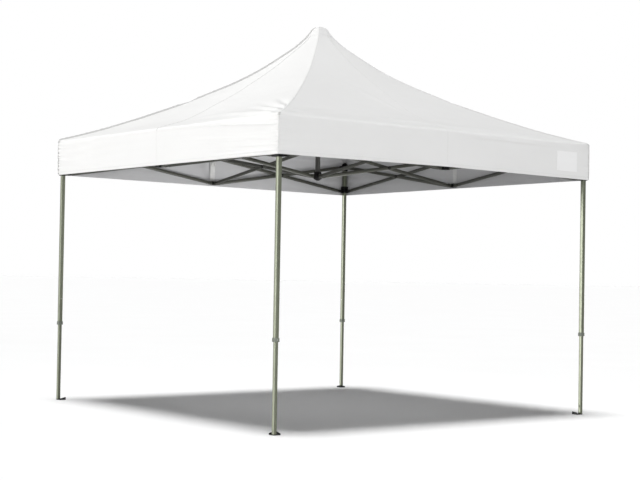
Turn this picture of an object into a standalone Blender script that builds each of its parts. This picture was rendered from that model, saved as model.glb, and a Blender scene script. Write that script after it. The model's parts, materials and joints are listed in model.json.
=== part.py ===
"""Marquee tent: a folding canopy 3.05 m square, standing open on four telescoping legs.

The floor is z = 0, the origin is under the middle of the tent and the front side faces -Y.
Every side holds two crossed pairs of bars, and four more pairs run as spokes to a double hub.
The upper pivots lie at one height and the lower ones at another, so the frame folds as one.
"""
import math

import bpy
import bmesh
from mathutils import Matrix, Vector

# Main sizes in metres
LEG = 1.495            # leg axis to the tent's middle planes
Z_LOW = 1.858          # lower pivots: sliders, lower side joints, lower hub
Z_TOP = 2.078          # upper pivots: leg brackets, upper side joints, upper hub
P_LEG = 0.060          # leg axis to a side bar's pivot
Q_SIDE = 0.050         # side joint's middle to a side bar's pivot
Q_SPOKE = 0.050        # side joint's middle to a spoke's pivot
C_HUB = 0.060          # hub's middle to a spoke's pivot
OFFSET = 0.008         # a bar's middle to the plane of its crossed pair

# Bars, pins and forks
BAR_DEEP = 0.030
BAR_THICK = 0.011
PIN_R = 0.0032
HOLE_R = 0.0036
CHEEK = 0.0035
PLAY = 0.0003
CHEEK_HIGH = 0.015

# Moulded joints and the pole
CORE_LONG = 0.026      # half length of a side joint along its side
CORE = 0.019           # half its width, and half a leg bracket's width
CORE_HIGH = 0.0165
SLEEVE = 0.0235        # half width of a slider
SLEEVE_DOWN = 0.024
SLEEVE_UP = 0.044
RIM = 0.036            # a hub's radius
SEAT = 0.030           # radius of the lower hub's raised seat under the pole
SEAT_TOP = 0.034
POLE = 0.015           # half width of the square centre pole
HEAD = 0.040           # radius of the pole's head, and of the flat on its top
HEAD_FLAT = 0.0168

# Legs and feet
OUTER = 0.015          # half width of the outer tube
OUTER_WALL = 0.0016
INNER = 0.0124
INNER_WALL = 0.0014
COLLAR = 0.019
COLLAR_LOW = 0.616
COLLAR_HIGH = 0.644
INNER_TOP = 0.98
FOOT = 0.058
FOOT_THICK = 0.005
LIP_ENDS = 0.012       # height of the foot's lips at their outer ends
LIP = 0.024            # and at the inner corner

# Canopy
CLOTH = 1.525          # half width outside
CLOTH_THICK = 0.0025
SLOPED_THICK = 0.003
MITRE = 0.0004
BREAK = 0.75           # where the upper roof panel meets the lower one
ROUND = 1.35           # distance from the middle within which the roof's faces are rounded
FACETS = 8             # flats across each rounded face
Z_EAVE = 2.130
Z_VALANCE = 1.850
Z_PEAK = 3.066
PROFILE = [(0.012, 3.064), (0.030, 3.056), (0.045, 3.040), (0.062, 3.003), (0.09, 2.955),
           (0.14, 2.895), (0.20, 2.837), (0.27, 2.773), (0.34, 2.712), (0.42, 2.652),
           (0.51, 2.592), (0.59, 2.545), (0.67, 2.499), (0.75, 2.455), (0.84, 2.409),
           (0.93, 2.366), (1.03, 2.319), (1.13, 2.275), (1.23, 2.233), (1.33, 2.195),
           (1.43, 2.160), (1.525, 2.130)]

SIDES = ("front", "right", "back", "left")
LEGS = ("front_left", "front_right", "back_right", "back_left")
SPAN = LEG - P_LEG - Q_SIDE
RISE = Z_TOP - Z_LOW
BAR = math.hypot(SPAN, RISE)
ANGLE = math.atan2(RISE, SPAN)

COLOURS = {
    "powder": ((0.60, 0.63, 0.53, 1), 0.35, 0.42),
    "truss": ((0.42, 0.45, 0.38, 1), 0.35, 0.45),
    "plastic": ((0.030, 0.031, 0.030, 1), 0.0, 0.55),
    "cloth": ((0.90, 0.90, 0.89, 1), 0.0, 0.80),
}


def under_cloth(s):
    """Height just under the roof at a distance from the tent's middle plane."""
    for (s0, z0), (s1, z1) in zip(PROFILE, PROFILE[1:]):
        if s0 <= s <= s1:
            return z0 + (z1 - z0) * (s - s0) / (s1 - s0) - SLOPED_THICK - PLAY
    return PROFILE[0][1] - SLOPED_THICK - PLAY


def roundness(s):
    """1 at the peak, where the roof is a cone, and 0 near the eaves, where its faces are flat."""
    return max(0.0, 1 - s / ROUND) ** 1.8


def level_line(s, x):
    """How far out a face lies at x along its side, on the level line that meets the ridge at s."""
    return s + (math.sqrt(2 * s * s - x * x) - s) * roundness(s)


def under_peak(radius):
    """Height just under the roof at a small distance from the pole's axis."""
    return under_cloth(radius / (1 + (math.sqrt(2) - 1) * roundness(radius))) - PLAY


def clear():
    for ob in list(bpy.data.objects):
        bpy.data.objects.remove(ob, do_unlink=True)


def prism(outline, low, high, axis):
    """A closed prism: a 2D outline swept along one axis from low to high."""
    bm = bmesh.new()
    ring = {}
    for level in (low, high):
        ring[level] = []
        for u, v in outline:
            co = {"X": (level, u, v), "Y": (u, level, v), "Z": (u, v, level)}[axis]
            ring[level].append(bm.verts.new(co))
    a, b = ring[low], ring[high]
    n = len(outline)
    bm.faces.new(a)
    bm.faces.new(b[::-1])
    for i in range(n):
        j = (i + 1) % n
        bm.faces.new((a[j], a[i], b[i], b[j]))
    return finish(bm)


def finish(bm):
    bmesh.ops.recalc_face_normals(bm, faces=bm.faces)
    mesh = bpy.data.meshes.new("piece")
    bm.to_mesh(mesh)
    bm.free()
    return mesh


def box(x0, x1, y0, y1, z0, z1):
    return prism([(x0, y0), (x1, y0), (x1, y1), (x0, y1)], z0, z1, "Z")


def round_bar(u, v, r, low, high, axis, n=20):
    ring = [(u + r * math.cos(2 * math.pi * i / n), v + r * math.sin(2 * math.pi * i / n))
            for i in range(n)]
    return prism(ring, low, high, axis)


def lathe(profile, n=28):
    """A closed turned body from (radius, height) points, the first and last on the axis."""
    bm = bmesh.new()
    rows = []
    for r, z in profile:
        if r == 0:
            rows.append([bm.verts.new((0, 0, z))])
        else:
            rows.append([bm.verts.new((r * math.cos(2 * math.pi * i / n),
                                       r * math.sin(2 * math.pi * i / n), z)) for i in range(n)])
    for a, b in zip(rows, rows[1:]):
        for i in range(n):
            j = (i + 1) % n
            if len(a) == 1:
                bm.faces.new((a[0], b[i], b[j]))
            elif len(b) == 1:
                bm.faces.new((a[i], a[j], b[0]))
            else:
                bm.faces.new((a[i], a[j], b[j], b[i]))
    return finish(bm)


def combine(base, others, operation):
    """Joins or cuts meshes with the exact solver, one after another."""
    holder = bpy.data.objects.new("holder", base)
    bpy.context.scene.collection.objects.link(holder)
    for mesh in others:
        tool = bpy.data.objects.new("tool", mesh)
        bpy.context.scene.collection.objects.link(tool)
        mod = holder.modifiers.new("combine", "BOOLEAN")
        mod.operation = operation
        mod.solver = "EXACT"
        mod.object = tool
        bpy.context.view_layer.update()
        graph = bpy.context.evaluated_depsgraph_get()
        result = bpy.data.meshes.new_from_object(holder.evaluated_get(graph))
        holder.modifiers.clear()
        holder.data = result
        bpy.data.objects.remove(tool, do_unlink=True)
    result = holder.data
    bpy.data.objects.remove(holder, do_unlink=True)
    return result


def fuse(base, *others):
    return combine(base, others, "UNION")


def cut(base, *others):
    return combine(base, others, "DIFFERENCE")


def part(name, mesh, pivot, quarter, colour):
    """Turns a mesh drawn for the front side to its own side and sets its origin on its pivot."""
    turn = Matrix.Rotation(math.radians(90 * quarter), 4, "Z")
    where = turn @ Vector(pivot)
    mesh = mesh.copy()
    mesh.transform(turn)
    mesh.transform(Matrix.Translation(-where))
    bm = bmesh.new()
    bm.from_mesh(mesh)
    bmesh.ops.remove_doubles(bm, verts=bm.verts, dist=1e-6)
    bmesh.ops.dissolve_degenerate(bm, edges=bm.edges, dist=1e-7)
    bmesh.ops.recalc_face_normals(bm, faces=bm.faces)
    bm.to_mesh(mesh)
    bm.free()
    mesh.name = name
    ob = bpy.data.objects.new(name, mesh)
    bpy.context.scene.collection.objects.link(ob)
    ob.location = where
    base, metallic, rough = COLOURS[colour]
    mat = bpy.data.materials.new(name)
    mat.use_nodes = True
    shader = mat.node_tree.nodes["Principled BSDF"]
    shader.inputs["Base Color"].default_value = base
    shader.inputs["Metallic"].default_value = metallic
    shader.inputs["Roughness"].default_value = rough
    mat.diffuse_color = base
    mesh.materials.clear()
    mesh.materials.append(mat)
    return ob


# Bars of the crossed pairs
def bar_mesh(with_pin):
    """A bar along +X from its first pivot, in the XZ plane, its middle at y = 0."""
    r = BAR_DEEP / 2
    steps = 10
    outline = [(BAR + r * math.sin(math.pi * i / steps), -r * math.cos(math.pi * i / steps))
               for i in range(steps + 1)]
    outline += [(-r * math.sin(math.pi * i / steps), r * math.cos(math.pi * i / steps))
                for i in range(steps + 1)]
    half = BAR_THICK / 2
    body = prism(outline, -half, half, "Y")
    drill = [round_bar(0, 0, HOLE_R, -0.05, 0.05, "Y"), round_bar(BAR, 0, HOLE_R, -0.05, 0.05, "Y")]
    if not with_pin:
        drill.append(round_bar(BAR / 2, 0, HOLE_R, -0.05, 0.05, "Y"))
    body = cut(body, *drill)
    if with_pin:
        # The pin passes through the other bar, whose middle is 2 x OFFSET away on -Y
        other = -2 * OFFSET
        washer = round_bar(BAR / 2, 0, 0.009, other + half + PLAY, 0.0, "Y")
        pin = round_bar(BAR / 2, 0, PIN_R, other - half - PLAY - 0.001, 0.0, "Y")
        head = round_bar(BAR / 2, 0, 0.0065, other - half - PLAY - 0.0025, other - half - PLAY, "Y")
        body = fuse(body, washer, pin, head)
    return body


def aimed(mesh, start, end, inward, mirror):
    """Lays a bar from start to end: along X for a side, along Y for a spoke."""
    mesh = mesh.copy()
    if mirror:
        mesh.transform(Matrix.Scale(-1, 4, (0, 1, 0)))
    start, end = Vector(start), Vector(end)
    along = (end - start).normalized()
    side = Vector(inward)
    up = along.cross(side)
    basis = Matrix((along, side, up)).transposed().to_4x4()
    if basis.determinant() < 0:
        basis = Matrix((along, side, -up)).transposed().to_4x4()
    mesh.transform(Matrix.Translation(start) @ basis)
    return mesh


# Forks that hold the bars' ends
def fork(direction, start, reach, centre, lateral, z):
    """Two cheeks and a pin. direction is X or Y with its sign, lateral is the bar's offset."""
    sign = 1 if direction[0] == "+" else -1
    axis = direction[1]
    cx, cy = centre
    pieces = []
    along0 = (cx if axis == "X" else cy)
    across0 = (cy if axis == "X" else cx) + lateral
    half = BAR_THICK / 2 + PLAY
    for low, high in ((-half - CHEEK, -half), (half, half + CHEEK)):
        r = CHEEK_HIGH
        outline = [(along0 + sign * start, z - r)]
        outline += [(along0 + sign * (reach + r * math.sin(math.pi * i / 8)),
                     z - r * math.cos(math.pi * i / 8)) for i in range(9)]
        outline += [(along0 + sign * start, z + r)]
        pieces.append(prism(outline, across0 + low, across0 + high, "Y" if axis == "X" else "X"))
    ends = (across0 - half - 0.0015, across0 + half + 0.0015)
    pieces.append(round_bar(along0 + sign * reach, z, PIN_R, ends[0], ends[1],
                            "Y" if axis == "X" else "X"))
    return pieces


def build_frame():
    pinned, plain = bar_mesh(True), bar_mesh(False)
    spoke_in = -C_HUB
    spoke_out = -(LEG - Q_SPOKE)
    # Side joints, drawn for the front side
    low = fuse(box(-CORE_LONG, CORE_LONG, -LEG - CORE, -LEG + CORE,
                   Z_LOW - CORE_HIGH, Z_LOW + CORE_HIGH),
               *fork("-X", 0.015, Q_SIDE, (0, -LEG), OFFSET, Z_LOW),
               *fork("+X", 0.015, Q_SIDE, (0, -LEG), OFFSET, Z_LOW),
               *fork("+Y", 0.015, Q_SPOKE, (0, -LEG), OFFSET, Z_LOW))
    top = fuse(box(-CORE_LONG, CORE_LONG, -LEG - CORE, -LEG + CORE,
                   Z_TOP - CORE_HIGH, Z_TOP + CORE_HIGH),
               *fork("-X", 0.015, Q_SIDE, (0, -LEG), -OFFSET, Z_TOP),
               *fork("+X", 0.015, Q_SIDE, (0, -LEG), -OFFSET, Z_TOP),
               *fork("+Y", 0.015, Q_SPOKE, (0, -LEG), -OFFSET, Z_TOP))
    # Outer leg with its collar and top bracket, drawn for the front left corner
    outer = fuse(box(-LEG - OUTER, -LEG + OUTER, -LEG - OUTER, -LEG + OUTER,
                     COLLAR_LOW, Z_TOP - 0.010),
                 box(-LEG - COLLAR, -LEG + COLLAR, -LEG - COLLAR, -LEG + COLLAR,
                     COLLAR_LOW, COLLAR_HIGH))
    bore = OUTER - OUTER_WALL
    outer = cut(outer, box(-LEG - bore, -LEG + bore, -LEG - bore, -LEG + bore,
                           COLLAR_LOW - 0.01, Z_TOP - 0.060))
    outer = fuse(outer,
                 box(-LEG - CORE, -LEG + CORE, -LEG - CORE, -LEG + CORE,
                     Z_TOP - 0.030, under_cloth(LEG + CORE)),
                 *fork("+X", 0.016, P_LEG, (-LEG, -LEG), OFFSET, Z_TOP),
                 *fork("+Y", 0.016, P_LEG, (-LEG, -LEG), OFFSET, Z_TOP))
    # Slider that runs on the outer leg
    slider = box(-LEG - SLEEVE, -LEG + SLEEVE, -LEG - SLEEVE, -LEG + SLEEVE,
                 Z_LOW - SLEEVE_DOWN, Z_LOW + SLEEVE_UP)
    run = OUTER + 0.0005
    slider = cut(slider, box(-LEG - run, -LEG + run, -LEG - run, -LEG + run,
                             Z_LOW - 0.05, Z_LOW + 0.08))
    slider = fuse(slider,
                  *fork("+X", 0.0162, P_LEG, (-LEG, -LEG), -OFFSET, Z_LOW),
                  *fork("+Y", 0.0162, P_LEG, (-LEG, -LEG), -OFFSET, Z_LOW))
    # Inner leg welded to its foot plate, whose inner edges turn up
    x0 = -LEG - INNER
    x1 = x0 + FOOT
    edge = FOOT_THICK / 2
    inner = box(-LEG - INNER, -LEG + INNER, -LEG - INNER, -LEG + INNER, edge, INNER_TOP)
    inner = fuse(inner, box(x0, x1, x0, x1, 0, FOOT_THICK))
    hollow = INNER - INNER_WALL
    inner = cut(inner, box(-LEG - hollow, -LEG + hollow, -LEG - hollow, -LEG + hollow,
                           FOOT_THICK, INNER_TOP + 0.01))
    lip = [(x0 + 0.001, edge), (x1, edge), (x1, LIP), (x0 + 0.001, LIP_ENDS)]
    inner = fuse(inner, prism(lip, x1 - 0.004, x1, "Y"), prism(lip, x1 - 0.004, x1, "X"))
    stake = round_bar(x0 + 0.041, x0 + 0.041, 0.0055, -0.01, 0.03, "Z")
    inner = cut(inner, stake)

    for k, (side, leg) in enumerate(zip(SIDES, LEGS)):
        for half, sign in (("a", -1), ("b", 1)):
            inner_x, outer_x = sign * Q_SIDE, sign * (LEG - P_LEG)
            y_up, y_down = -LEG + OFFSET, -LEG - OFFSET
            start = (inner_x, y_up, Z_LOW)
            part("truss_%s_%s_up" % (side, half),
                 aimed(pinned, start, (outer_x, y_up, Z_TOP), (0, 1, 0), False),
                 start, k, "truss")
            start = (inner_x, y_down, Z_TOP)
            part("truss_%s_%s_down" % (side, half),
                 aimed(plain, start, (outer_x, y_down, Z_LOW), (0, 1, 0), False),
                 start, k, "truss")
        start = (OFFSET, spoke_in, Z_TOP)
        part("spoke_%s_down" % side,
             aimed(pinned, start, (OFFSET, spoke_out, Z_LOW), (1, 0, 0), False), start, k, "truss")
        start = (-OFFSET, spoke_in, Z_LOW)
        middle = (-OFFSET, (spoke_in + spoke_out) / 2, (Z_LOW + Z_TOP) / 2)
        part("spoke_%s_up" % side,
             aimed(plain, start, (-OFFSET, spoke_out, Z_TOP), (1, 0, 0), False), middle, k, "truss")
        part("joint_%s_low" % side, low, (OFFSET, -LEG + Q_SPOKE, Z_LOW), k, "plastic")
        part("joint_%s_top" % side, top, (-OFFSET, -LEG + Q_SPOKE, Z_TOP), k, "plastic")
        part("leg_outer_" + leg, outer, (-LEG + P_LEG, -LEG + OFFSET, Z_TOP), k, "powder")
        part("slider_" + leg, slider, (-LEG + P_LEG, -LEG - OFFSET, Z_LOW), k, "plastic")
        part("leg_inner_" + leg, inner, (-LEG, -LEG, 0), k, "powder")


def build_hubs():
    pieces = []
    for z, lateral, profile in (
            (Z_TOP, OFFSET, [(0, -0.022), (0.033, -0.022), (RIM, -0.018), (RIM, 0.018),
                             (0.033, 0.022), (0, 0.022)]),
            (Z_LOW, -OFFSET, [(0, -0.038), (0.010, -0.037), (0.020, -0.032), (0.030, -0.023),
                              (RIM, -0.016), (RIM, 0.014), (SEAT, 0.018), (SEAT, SEAT_TOP),
                              (0, SEAT_TOP)])):
        core = lathe([(r, z + dz) for r, dz in profile])
        forks = []
        for k in range(4):
            turn = Matrix.Rotation(math.radians(90 * k), 4, "Z")
            for piece in fork("-Y", 0.028, C_HUB, (0, 0), lateral, z):
                piece.transform(turn)
                forks.append(piece)
        pieces.append(fuse(core, *forks))
    upper, lower = pieces
    # The pole passes through the upper hub and ends just above the lower hub's seat
    bore = POLE + PLAY
    upper = cut(upper, box(-bore, bore, -bore, bore, Z_TOP - 0.1, Z_TOP + 0.1))
    part("hub_upper", upper, (0, 0, Z_TOP), 0, "plastic")
    part("hub_lower", lower, (-OFFSET, -C_HUB, Z_LOW), 0, "plastic")
    head = lathe([(0, Z_PEAK - 0.066), (0.022, Z_PEAK - 0.066), (0.034, Z_PEAK - 0.052),
                  (HEAD, under_peak(HEAD)), (HEAD_FLAT, under_peak(HEAD_FLAT)),
                  (0, under_peak(HEAD_FLAT))])
    pole = fuse(box(-POLE, POLE, -POLE, POLE, Z_LOW + SEAT_TOP + 0.001, Z_PEAK - 0.060), head)
    part("centre_pole", pole, (0, 0, Z_TOP), 0, "powder")


# Canopy panels, drawn for the front side
def panel(rows):
    """A thin rounded panel from (distance, height) rows, mitred along both ridges."""
    bm = bmesh.new()
    levels = []
    for drop in (0.0, SLOPED_THICK):
        grid = []
        for s, z in rows:
            across = [(2 * i / FACETS - 1) * (s - MITRE) for i in range(FACETS + 1)]
            grid.append([bm.verts.new((x, -level_line(s, x), z - drop)) for x in across])
        levels.append(grid)
    top, bottom = levels
    for i in range(len(rows) - 1):
        for j in range(FACETS):
            for grid in levels:
                bm.faces.new((grid[i][j], grid[i + 1][j], grid[i + 1][j + 1]))
                bm.faces.new((grid[i][j], grid[i + 1][j + 1], grid[i][j + 1]))
        for j in (0, FACETS):
            bm.faces.new((top[i][j], bottom[i][j], bottom[i + 1][j], top[i + 1][j]))
    for i in (0, -1):
        for j in range(FACETS):
            bm.faces.new((top[i][j], top[i][j + 1], bottom[i][j + 1], bottom[i][j]))
    return finish(bm)


def build_canopy():
    split = [i for i, (s, z) in enumerate(PROFILE) if abs(s - BREAK) < 1e-6][0]
    z_break = PROFILE[split][1]
    upper_rows = PROFILE[:split] + [(BREAK - 0.0004, z_break + 0.0002)]
    lower_rows = [(BREAK + 0.0004, z_break - 0.0002)] + PROFILE[split + 1:]
    upper, lower = panel(upper_rows), panel(lower_rows)
    w = CLOTH - CLOTH_THICK - 0.0005
    valance = box(-w, w, -CLOTH, -CLOTH + CLOTH_THICK, Z_VALANCE, Z_EAVE - SLOPED_THICK - 0.0006)
    for k, side in enumerate(SIDES):
        part("roof_%s_upper" % side, upper, (0, 0, Z_PEAK - 0.016), k, "cloth")
        part("roof_%s_lower" % side, lower, (0, -BREAK, z_break), k, "cloth")
        part("valance_" + side, valance, (0, -CLOTH, Z_EAVE), k, "cloth")


clear()
build_frame()
build_hubs()
build_canopy()
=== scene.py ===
# %% [markdown]
# # A folding marquee tent
#
# This lesson dresses the plain solids of a folding marquee tent: a white canopy, four
# telescoping legs and a frame of crossed bars. The solids already stand in the right places and
# carry the joints, so each piece made here is laid over its solid and rides on the same body.
# Every length is in metres, the floor is at z = 0, and the front of the tent faces -Y.

import json
import math

import bpy
import numpy as np
from mathutils import Matrix, Vector

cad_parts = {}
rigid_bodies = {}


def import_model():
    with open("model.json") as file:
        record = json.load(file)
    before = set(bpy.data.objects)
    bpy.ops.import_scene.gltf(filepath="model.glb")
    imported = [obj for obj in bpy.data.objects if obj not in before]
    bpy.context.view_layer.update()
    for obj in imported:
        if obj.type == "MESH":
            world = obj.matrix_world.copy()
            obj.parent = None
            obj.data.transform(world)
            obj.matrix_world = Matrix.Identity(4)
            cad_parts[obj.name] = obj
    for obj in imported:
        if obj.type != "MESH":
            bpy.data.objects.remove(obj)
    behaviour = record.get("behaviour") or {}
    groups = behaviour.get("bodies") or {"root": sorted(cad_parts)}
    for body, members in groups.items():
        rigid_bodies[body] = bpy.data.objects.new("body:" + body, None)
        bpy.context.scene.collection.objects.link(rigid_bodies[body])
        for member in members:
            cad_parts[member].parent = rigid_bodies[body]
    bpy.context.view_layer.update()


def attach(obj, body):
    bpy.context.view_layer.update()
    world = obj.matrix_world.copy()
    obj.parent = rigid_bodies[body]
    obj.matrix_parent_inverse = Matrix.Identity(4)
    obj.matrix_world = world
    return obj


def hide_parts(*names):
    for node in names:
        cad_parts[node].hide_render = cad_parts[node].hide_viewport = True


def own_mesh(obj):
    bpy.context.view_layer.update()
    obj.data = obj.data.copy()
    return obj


for leftover in list(bpy.data.objects):
    bpy.data.objects.remove(leftover, do_unlink=True)
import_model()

# %% [markdown]
# ## The sizes that the frame is built on
#
# A scissor frame only folds if its pivots keep a few simple rules: all bars are equally long, and
# the pivots lie at two heights. The numbers below are the ones the solids were made with. The
# tent looks the same from all four sides, so almost everything is made once for the front side or
# the front left corner, and then turned by quarter turns about the middle.

# %% Main sizes
SIDES = ("front", "right", "back", "left")
CORNERS = ("front_left", "front_right", "back_right", "back_left")
LEG = 1.495              # middle planes of the tent to a leg's axis
CLOTH = 1.525            # middle planes of the tent to the outside of the canopy
Z_PEAK = 3.066
Z_EAVE = 2.130
Z_VALANCE = 1.850        # lower edge of the valance
Z_TOP = 2.078            # upper pivots: leg brackets, upper side joints, upper hub
Z_LOW = 1.858            # lower pivots: sliders, lower side joints, lower hub
LEG_TO_PIVOT = 0.060     # a leg's axis to the pivot of a side bar
SIDE_TO_PIVOT = 0.050    # the middle of a side joint to the pivot of a side bar
SIDE_TO_SPOKE = 0.050    # the middle of a side joint to the pivot of a spoke
HUB_TO_SPOKE = 0.060     # the middle of a hub to the pivot of a spoke
OFFSET = 0.008           # half the distance between the two bars of a pair
BAR_DEEP = 0.030
BAR_THICK = 0.011
SPAN = LEG - LEG_TO_PIVOT - SIDE_TO_PIVOT
BAR_LONG = math.hypot(SPAN, Z_TOP - Z_LOW)
print("each bar is %.3f m between its end pivots" % BAR_LONG)

# %% [markdown]
# ## The camera
#
# The photograph was taken from a little over a metre high, some way off, with a long lens, so the
# legs are nearly parallel. The place, the aim and the lens below were fitted to the corners of
# the canopy and the feet. The camera also leans by one degree, as the photograph does. A Track To
# constraint could aim it, but that keeps a camera upright, so its three axes are worked out here.

# %% Camera
CAMERA_AT = Vector((-7.2270, -9.2497, 1.0748))
yaw = math.radians(38.139)
pitch = math.radians(1.309)
lean = math.radians(0.997)
FOCAL_PIXELS = 1456.24      # focal length, in pixels of the photograph
PHOTO_WIDE = 640            # pixels
SENSOR_WIDE = 36            # millimetres
ahead = Vector((math.sin(yaw) * math.cos(pitch), math.cos(yaw) * math.cos(pitch), math.sin(pitch)))
level = ahead.cross(Vector((0, 0, 1))).normalized()
above = level.cross(ahead)
right = level * math.cos(lean) + above * math.sin(lean)
up = above * math.cos(lean) - level * math.sin(lean)
bpy.ops.object.camera_add(location=CAMERA_AT)
camera = bpy.context.active_object
camera.name = "camera"
camera.rotation_euler = Matrix((right, up, -ahead)).transposed().to_euler()
camera.data.sensor_width = SENSOR_WIDE
camera.data.lens = FOCAL_PIXELS / PHOTO_WIDE * SENSOR_WIDE
camera.data.clip_end = 200
bpy.context.scene.camera = camera
print("lens: %.1f mm" % camera.data.lens)

# %% [markdown]
# ## Studio light
#
# The canopy is white on a white ground, so the light has to do the drawing. The standard view
# transform keeps white at white. The world itself gives little light, so that the shade stays
# deep, and only the camera sees it fully white: a light path node tells the camera's rays from
# all others. A white wall behind the tent would look the same, but it would throw its light back
# under the roof.

# %% World
bpy.context.scene.view_settings.view_transform = "Standard"
world = bpy.data.worlds.new("pale studio")
bpy.context.scene.world = world
world.use_nodes = True
air = world.node_tree
soft_white = air.nodes["Background"]
plain_white = air.nodes.new("ShaderNodeBackground")
soft_white.inputs["Color"].default_value = (0.98, 0.99, 1.0, 1)
soft_white.inputs["Strength"].default_value = 0.09
plain_white.inputs["Color"].default_value = (1, 1, 1, 1)
whichever = air.nodes.new("ShaderNodeMixShader")
air.links.new(air.nodes.new("ShaderNodeLightPath").outputs["Is Camera Ray"], whichever.inputs[0])
air.links.new(soft_white.outputs[0], whichever.inputs[1])
air.links.new(plain_white.outputs[0], whichever.inputs[2])
air.links.new(whichever.outputs[0], air.nodes["World Output"].inputs["Surface"])
print("world light: %.2f" % soft_white.inputs["Strength"].default_value)

# %% [markdown]
# ### Four suns
#
# Each sun has a disc several degrees wide, so that its shade has a soft edge. One from above
# whitens the floor and leaves the shade under the roof. One from behind on the left makes the
# left faces the brightest and runs down the left side of every leg. Two weak ones come from the
# front and the right, so that no face turns black. Area lamps would grow weaker from one side of
# the tent to the other, and suns do not.

# %% Suns
def soft_sun(name, towards, strength, spread, colour=(1, 1, 1)):
    """A sun whose light comes from the direction given; spread is its disc in degrees."""
    bpy.ops.object.light_add(type="SUN", location=Vector(towards) * 12)
    lamp = bpy.context.active_object
    lamp.name = name
    lamp.rotation_euler = Vector(towards).to_track_quat("Z", "Y").to_euler()
    lamp.data.energy = strength * math.pi
    lamp.data.angle = math.radians(spread)
    lamp.data.color = colour


soft_sun("lamp above", (-0.06, 0.02, 0.99), 0.885, 17)
soft_sun("lamp behind left", (-0.830, 0.556, 0.045), 0.85, 5, (1.0, 0.995, 0.985))
soft_sun("lamp front", (-0.12, -0.98, 0.12), 0.24, 12)
soft_sun("lamp right", (0.80, -0.22, 0.55), 0.07, 20)
print("suns:", sum(lamp.type == "SUN" for lamp in bpy.data.lights))

# %% [markdown] ### Two low strips and the floor  Two low strip lights that the camera does not
# see shine up under the canopy. The first stands in front and lights the faces of the bars that
# look that way. The second lies under the roof, in a narrower cone, and lights the inside of the
# back valance. More light from the world would reach these places too, but it would also lighten
# the shade on the floor.

# %% Strips and floor
def low_strip(name, at, towards, size, power, cone=180):
    """A flat lamp near the floor that shines towards a direction and stays unseen itself.

    The power is in watts and the cone in degrees."""
    bpy.ops.object.light_add(type="AREA", location=at)
    strip = bpy.context.active_object
    strip.name = name
    strip.rotation_euler = (-Vector(towards)).to_track_quat("Z", "Y").to_euler()
    strip.data.shape = "RECTANGLE"
    strip.data.size, strip.data.size_y = size
    strip.data.energy = power
    strip.data.spread = math.radians(cone)
    strip.visible_camera = False


low_strip("low strip", (-1.2, -7.0, 0.35), (0.10, 1.0, 0.28), (3.6, 0.5), 66)
low_strip("strip under the roof", (1.0, -0.9, 0.40), (-1.4, 2.0, 1.9), (1.2, 0.3), 10, 72)

bpy.ops.object.select_all(action="DESELECT")
bpy.ops.mesh.primitive_plane_add(size=400, location=(0, 0, 0))
floor = bpy.context.active_object
floor.name = "floor"
print("strips and floor placed")

# %% [markdown]
# ## Small tools for modelling
#
# In Blender's window, a piece is made by adding a primitive, selecting some of its edges or faces
# and running an operator on them. A script does the same, but it has to say in words what the
# mouse would point at. The first helpers make a block or a rod of the right size, with its place
# in its mesh, and select parts of a mesh by a test on their place and direction.

# %% Starting and selecting
def take(obj):
    """Makes one object the only selected one, and the active one."""
    bpy.ops.object.select_all(action="DESELECT")
    obj.select_set(True)
    bpy.context.view_layer.objects.active = obj


def settle(obj):
    """Moves an object's place, turn and scale into its mesh."""
    take(obj)
    bpy.ops.object.transform_apply(location=True, rotation=True, scale=True)
    return obj


def block(low, high):
    """A box between two corners, as a start for a piece."""
    low, high = Vector(low), Vector(high)
    bpy.ops.object.select_all(action="DESELECT")
    bpy.ops.mesh.primitive_cube_add(size=1, location=(low + high) / 2)
    bpy.context.active_object.scale = high - low
    return settle(bpy.context.active_object)


def rod(start, end, radius, sides=24):
    """A round rod from one point to another."""
    start, end = Vector(start), Vector(end)
    way = end - start
    bpy.ops.object.select_all(action="DESELECT")
    bpy.ops.mesh.primitive_cylinder_add(vertices=sides, radius=radius, depth=way.length,
                                        location=(start + end) / 2,
                                        rotation=way.to_track_quat("Z", "Y").to_euler())
    return settle(bpy.context.active_object)


def choose(obj, kind, test):
    """Goes to edit mode with only those VERT, EDGE or FACE parts selected that pass a test.

    A face is tested by its middle and normal, an edge by its middle and direction."""
    take(obj)
    bpy.ops.object.mode_set(mode="EDIT")
    bpy.ops.mesh.select_mode(type=kind)
    bpy.ops.mesh.select_all(action="DESELECT")
    bpy.ops.object.mode_set(mode="OBJECT")
    mesh = obj.data
    if kind == "FACE":
        for face in mesh.polygons:
            face.select = bool(test(face.center, face.normal))
    elif kind == "EDGE":
        for edge in mesh.edges:
            a, b = (mesh.vertices[i].co for i in edge.vertices)
            edge.select = bool(test((a + b) / 2, (b - a).normalized()))
    else:
        for vert in mesh.vertices:
            vert.select = bool(test(vert.co, vert.normal))
    bpy.ops.object.mode_set(mode="EDIT")


def done():
    """Leaves edit mode."""
    bpy.ops.object.mode_set(mode="OBJECT")


print("helpers made: take, settle, block, rod, choose, done")

# %% [markdown]
# ### Finishing
#
# The next helpers apply a modifier, round the sharp edges, set the shading and the material, and
# join parts into one piece. The modifiers could stay live, but the next operator would not see
# what they add, so each one is applied at once.

# %% Finishing
def modify(obj, kind, **settings):
    """Adds a modifier and applies it."""
    take(obj)
    mod = obj.modifiers.new(kind.lower(), kind)
    for key, value in settings.items():
        setattr(mod, key, value)
    bpy.ops.object.modifier_apply(modifier=mod.name)
    return obj


def soften(obj, width, segments=2, angle=35):
    """Rounds every edge that is sharper than an angle."""
    return modify(obj, "BEVEL", width=width, segments=segments, limit_method="ANGLE",
                  angle_limit=math.radians(angle))


def shade(obj, angle=38):
    """Shades a piece smooth, but not across edges that are sharper than an angle."""
    take(obj)
    bpy.ops.object.shade_smooth_by_angle(angle=math.radians(angle))
    return obj


def paint(obj, material):
    """Gives a piece its only material."""
    obj.data.materials.clear()
    obj.data.materials.append(material)
    return obj


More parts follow.
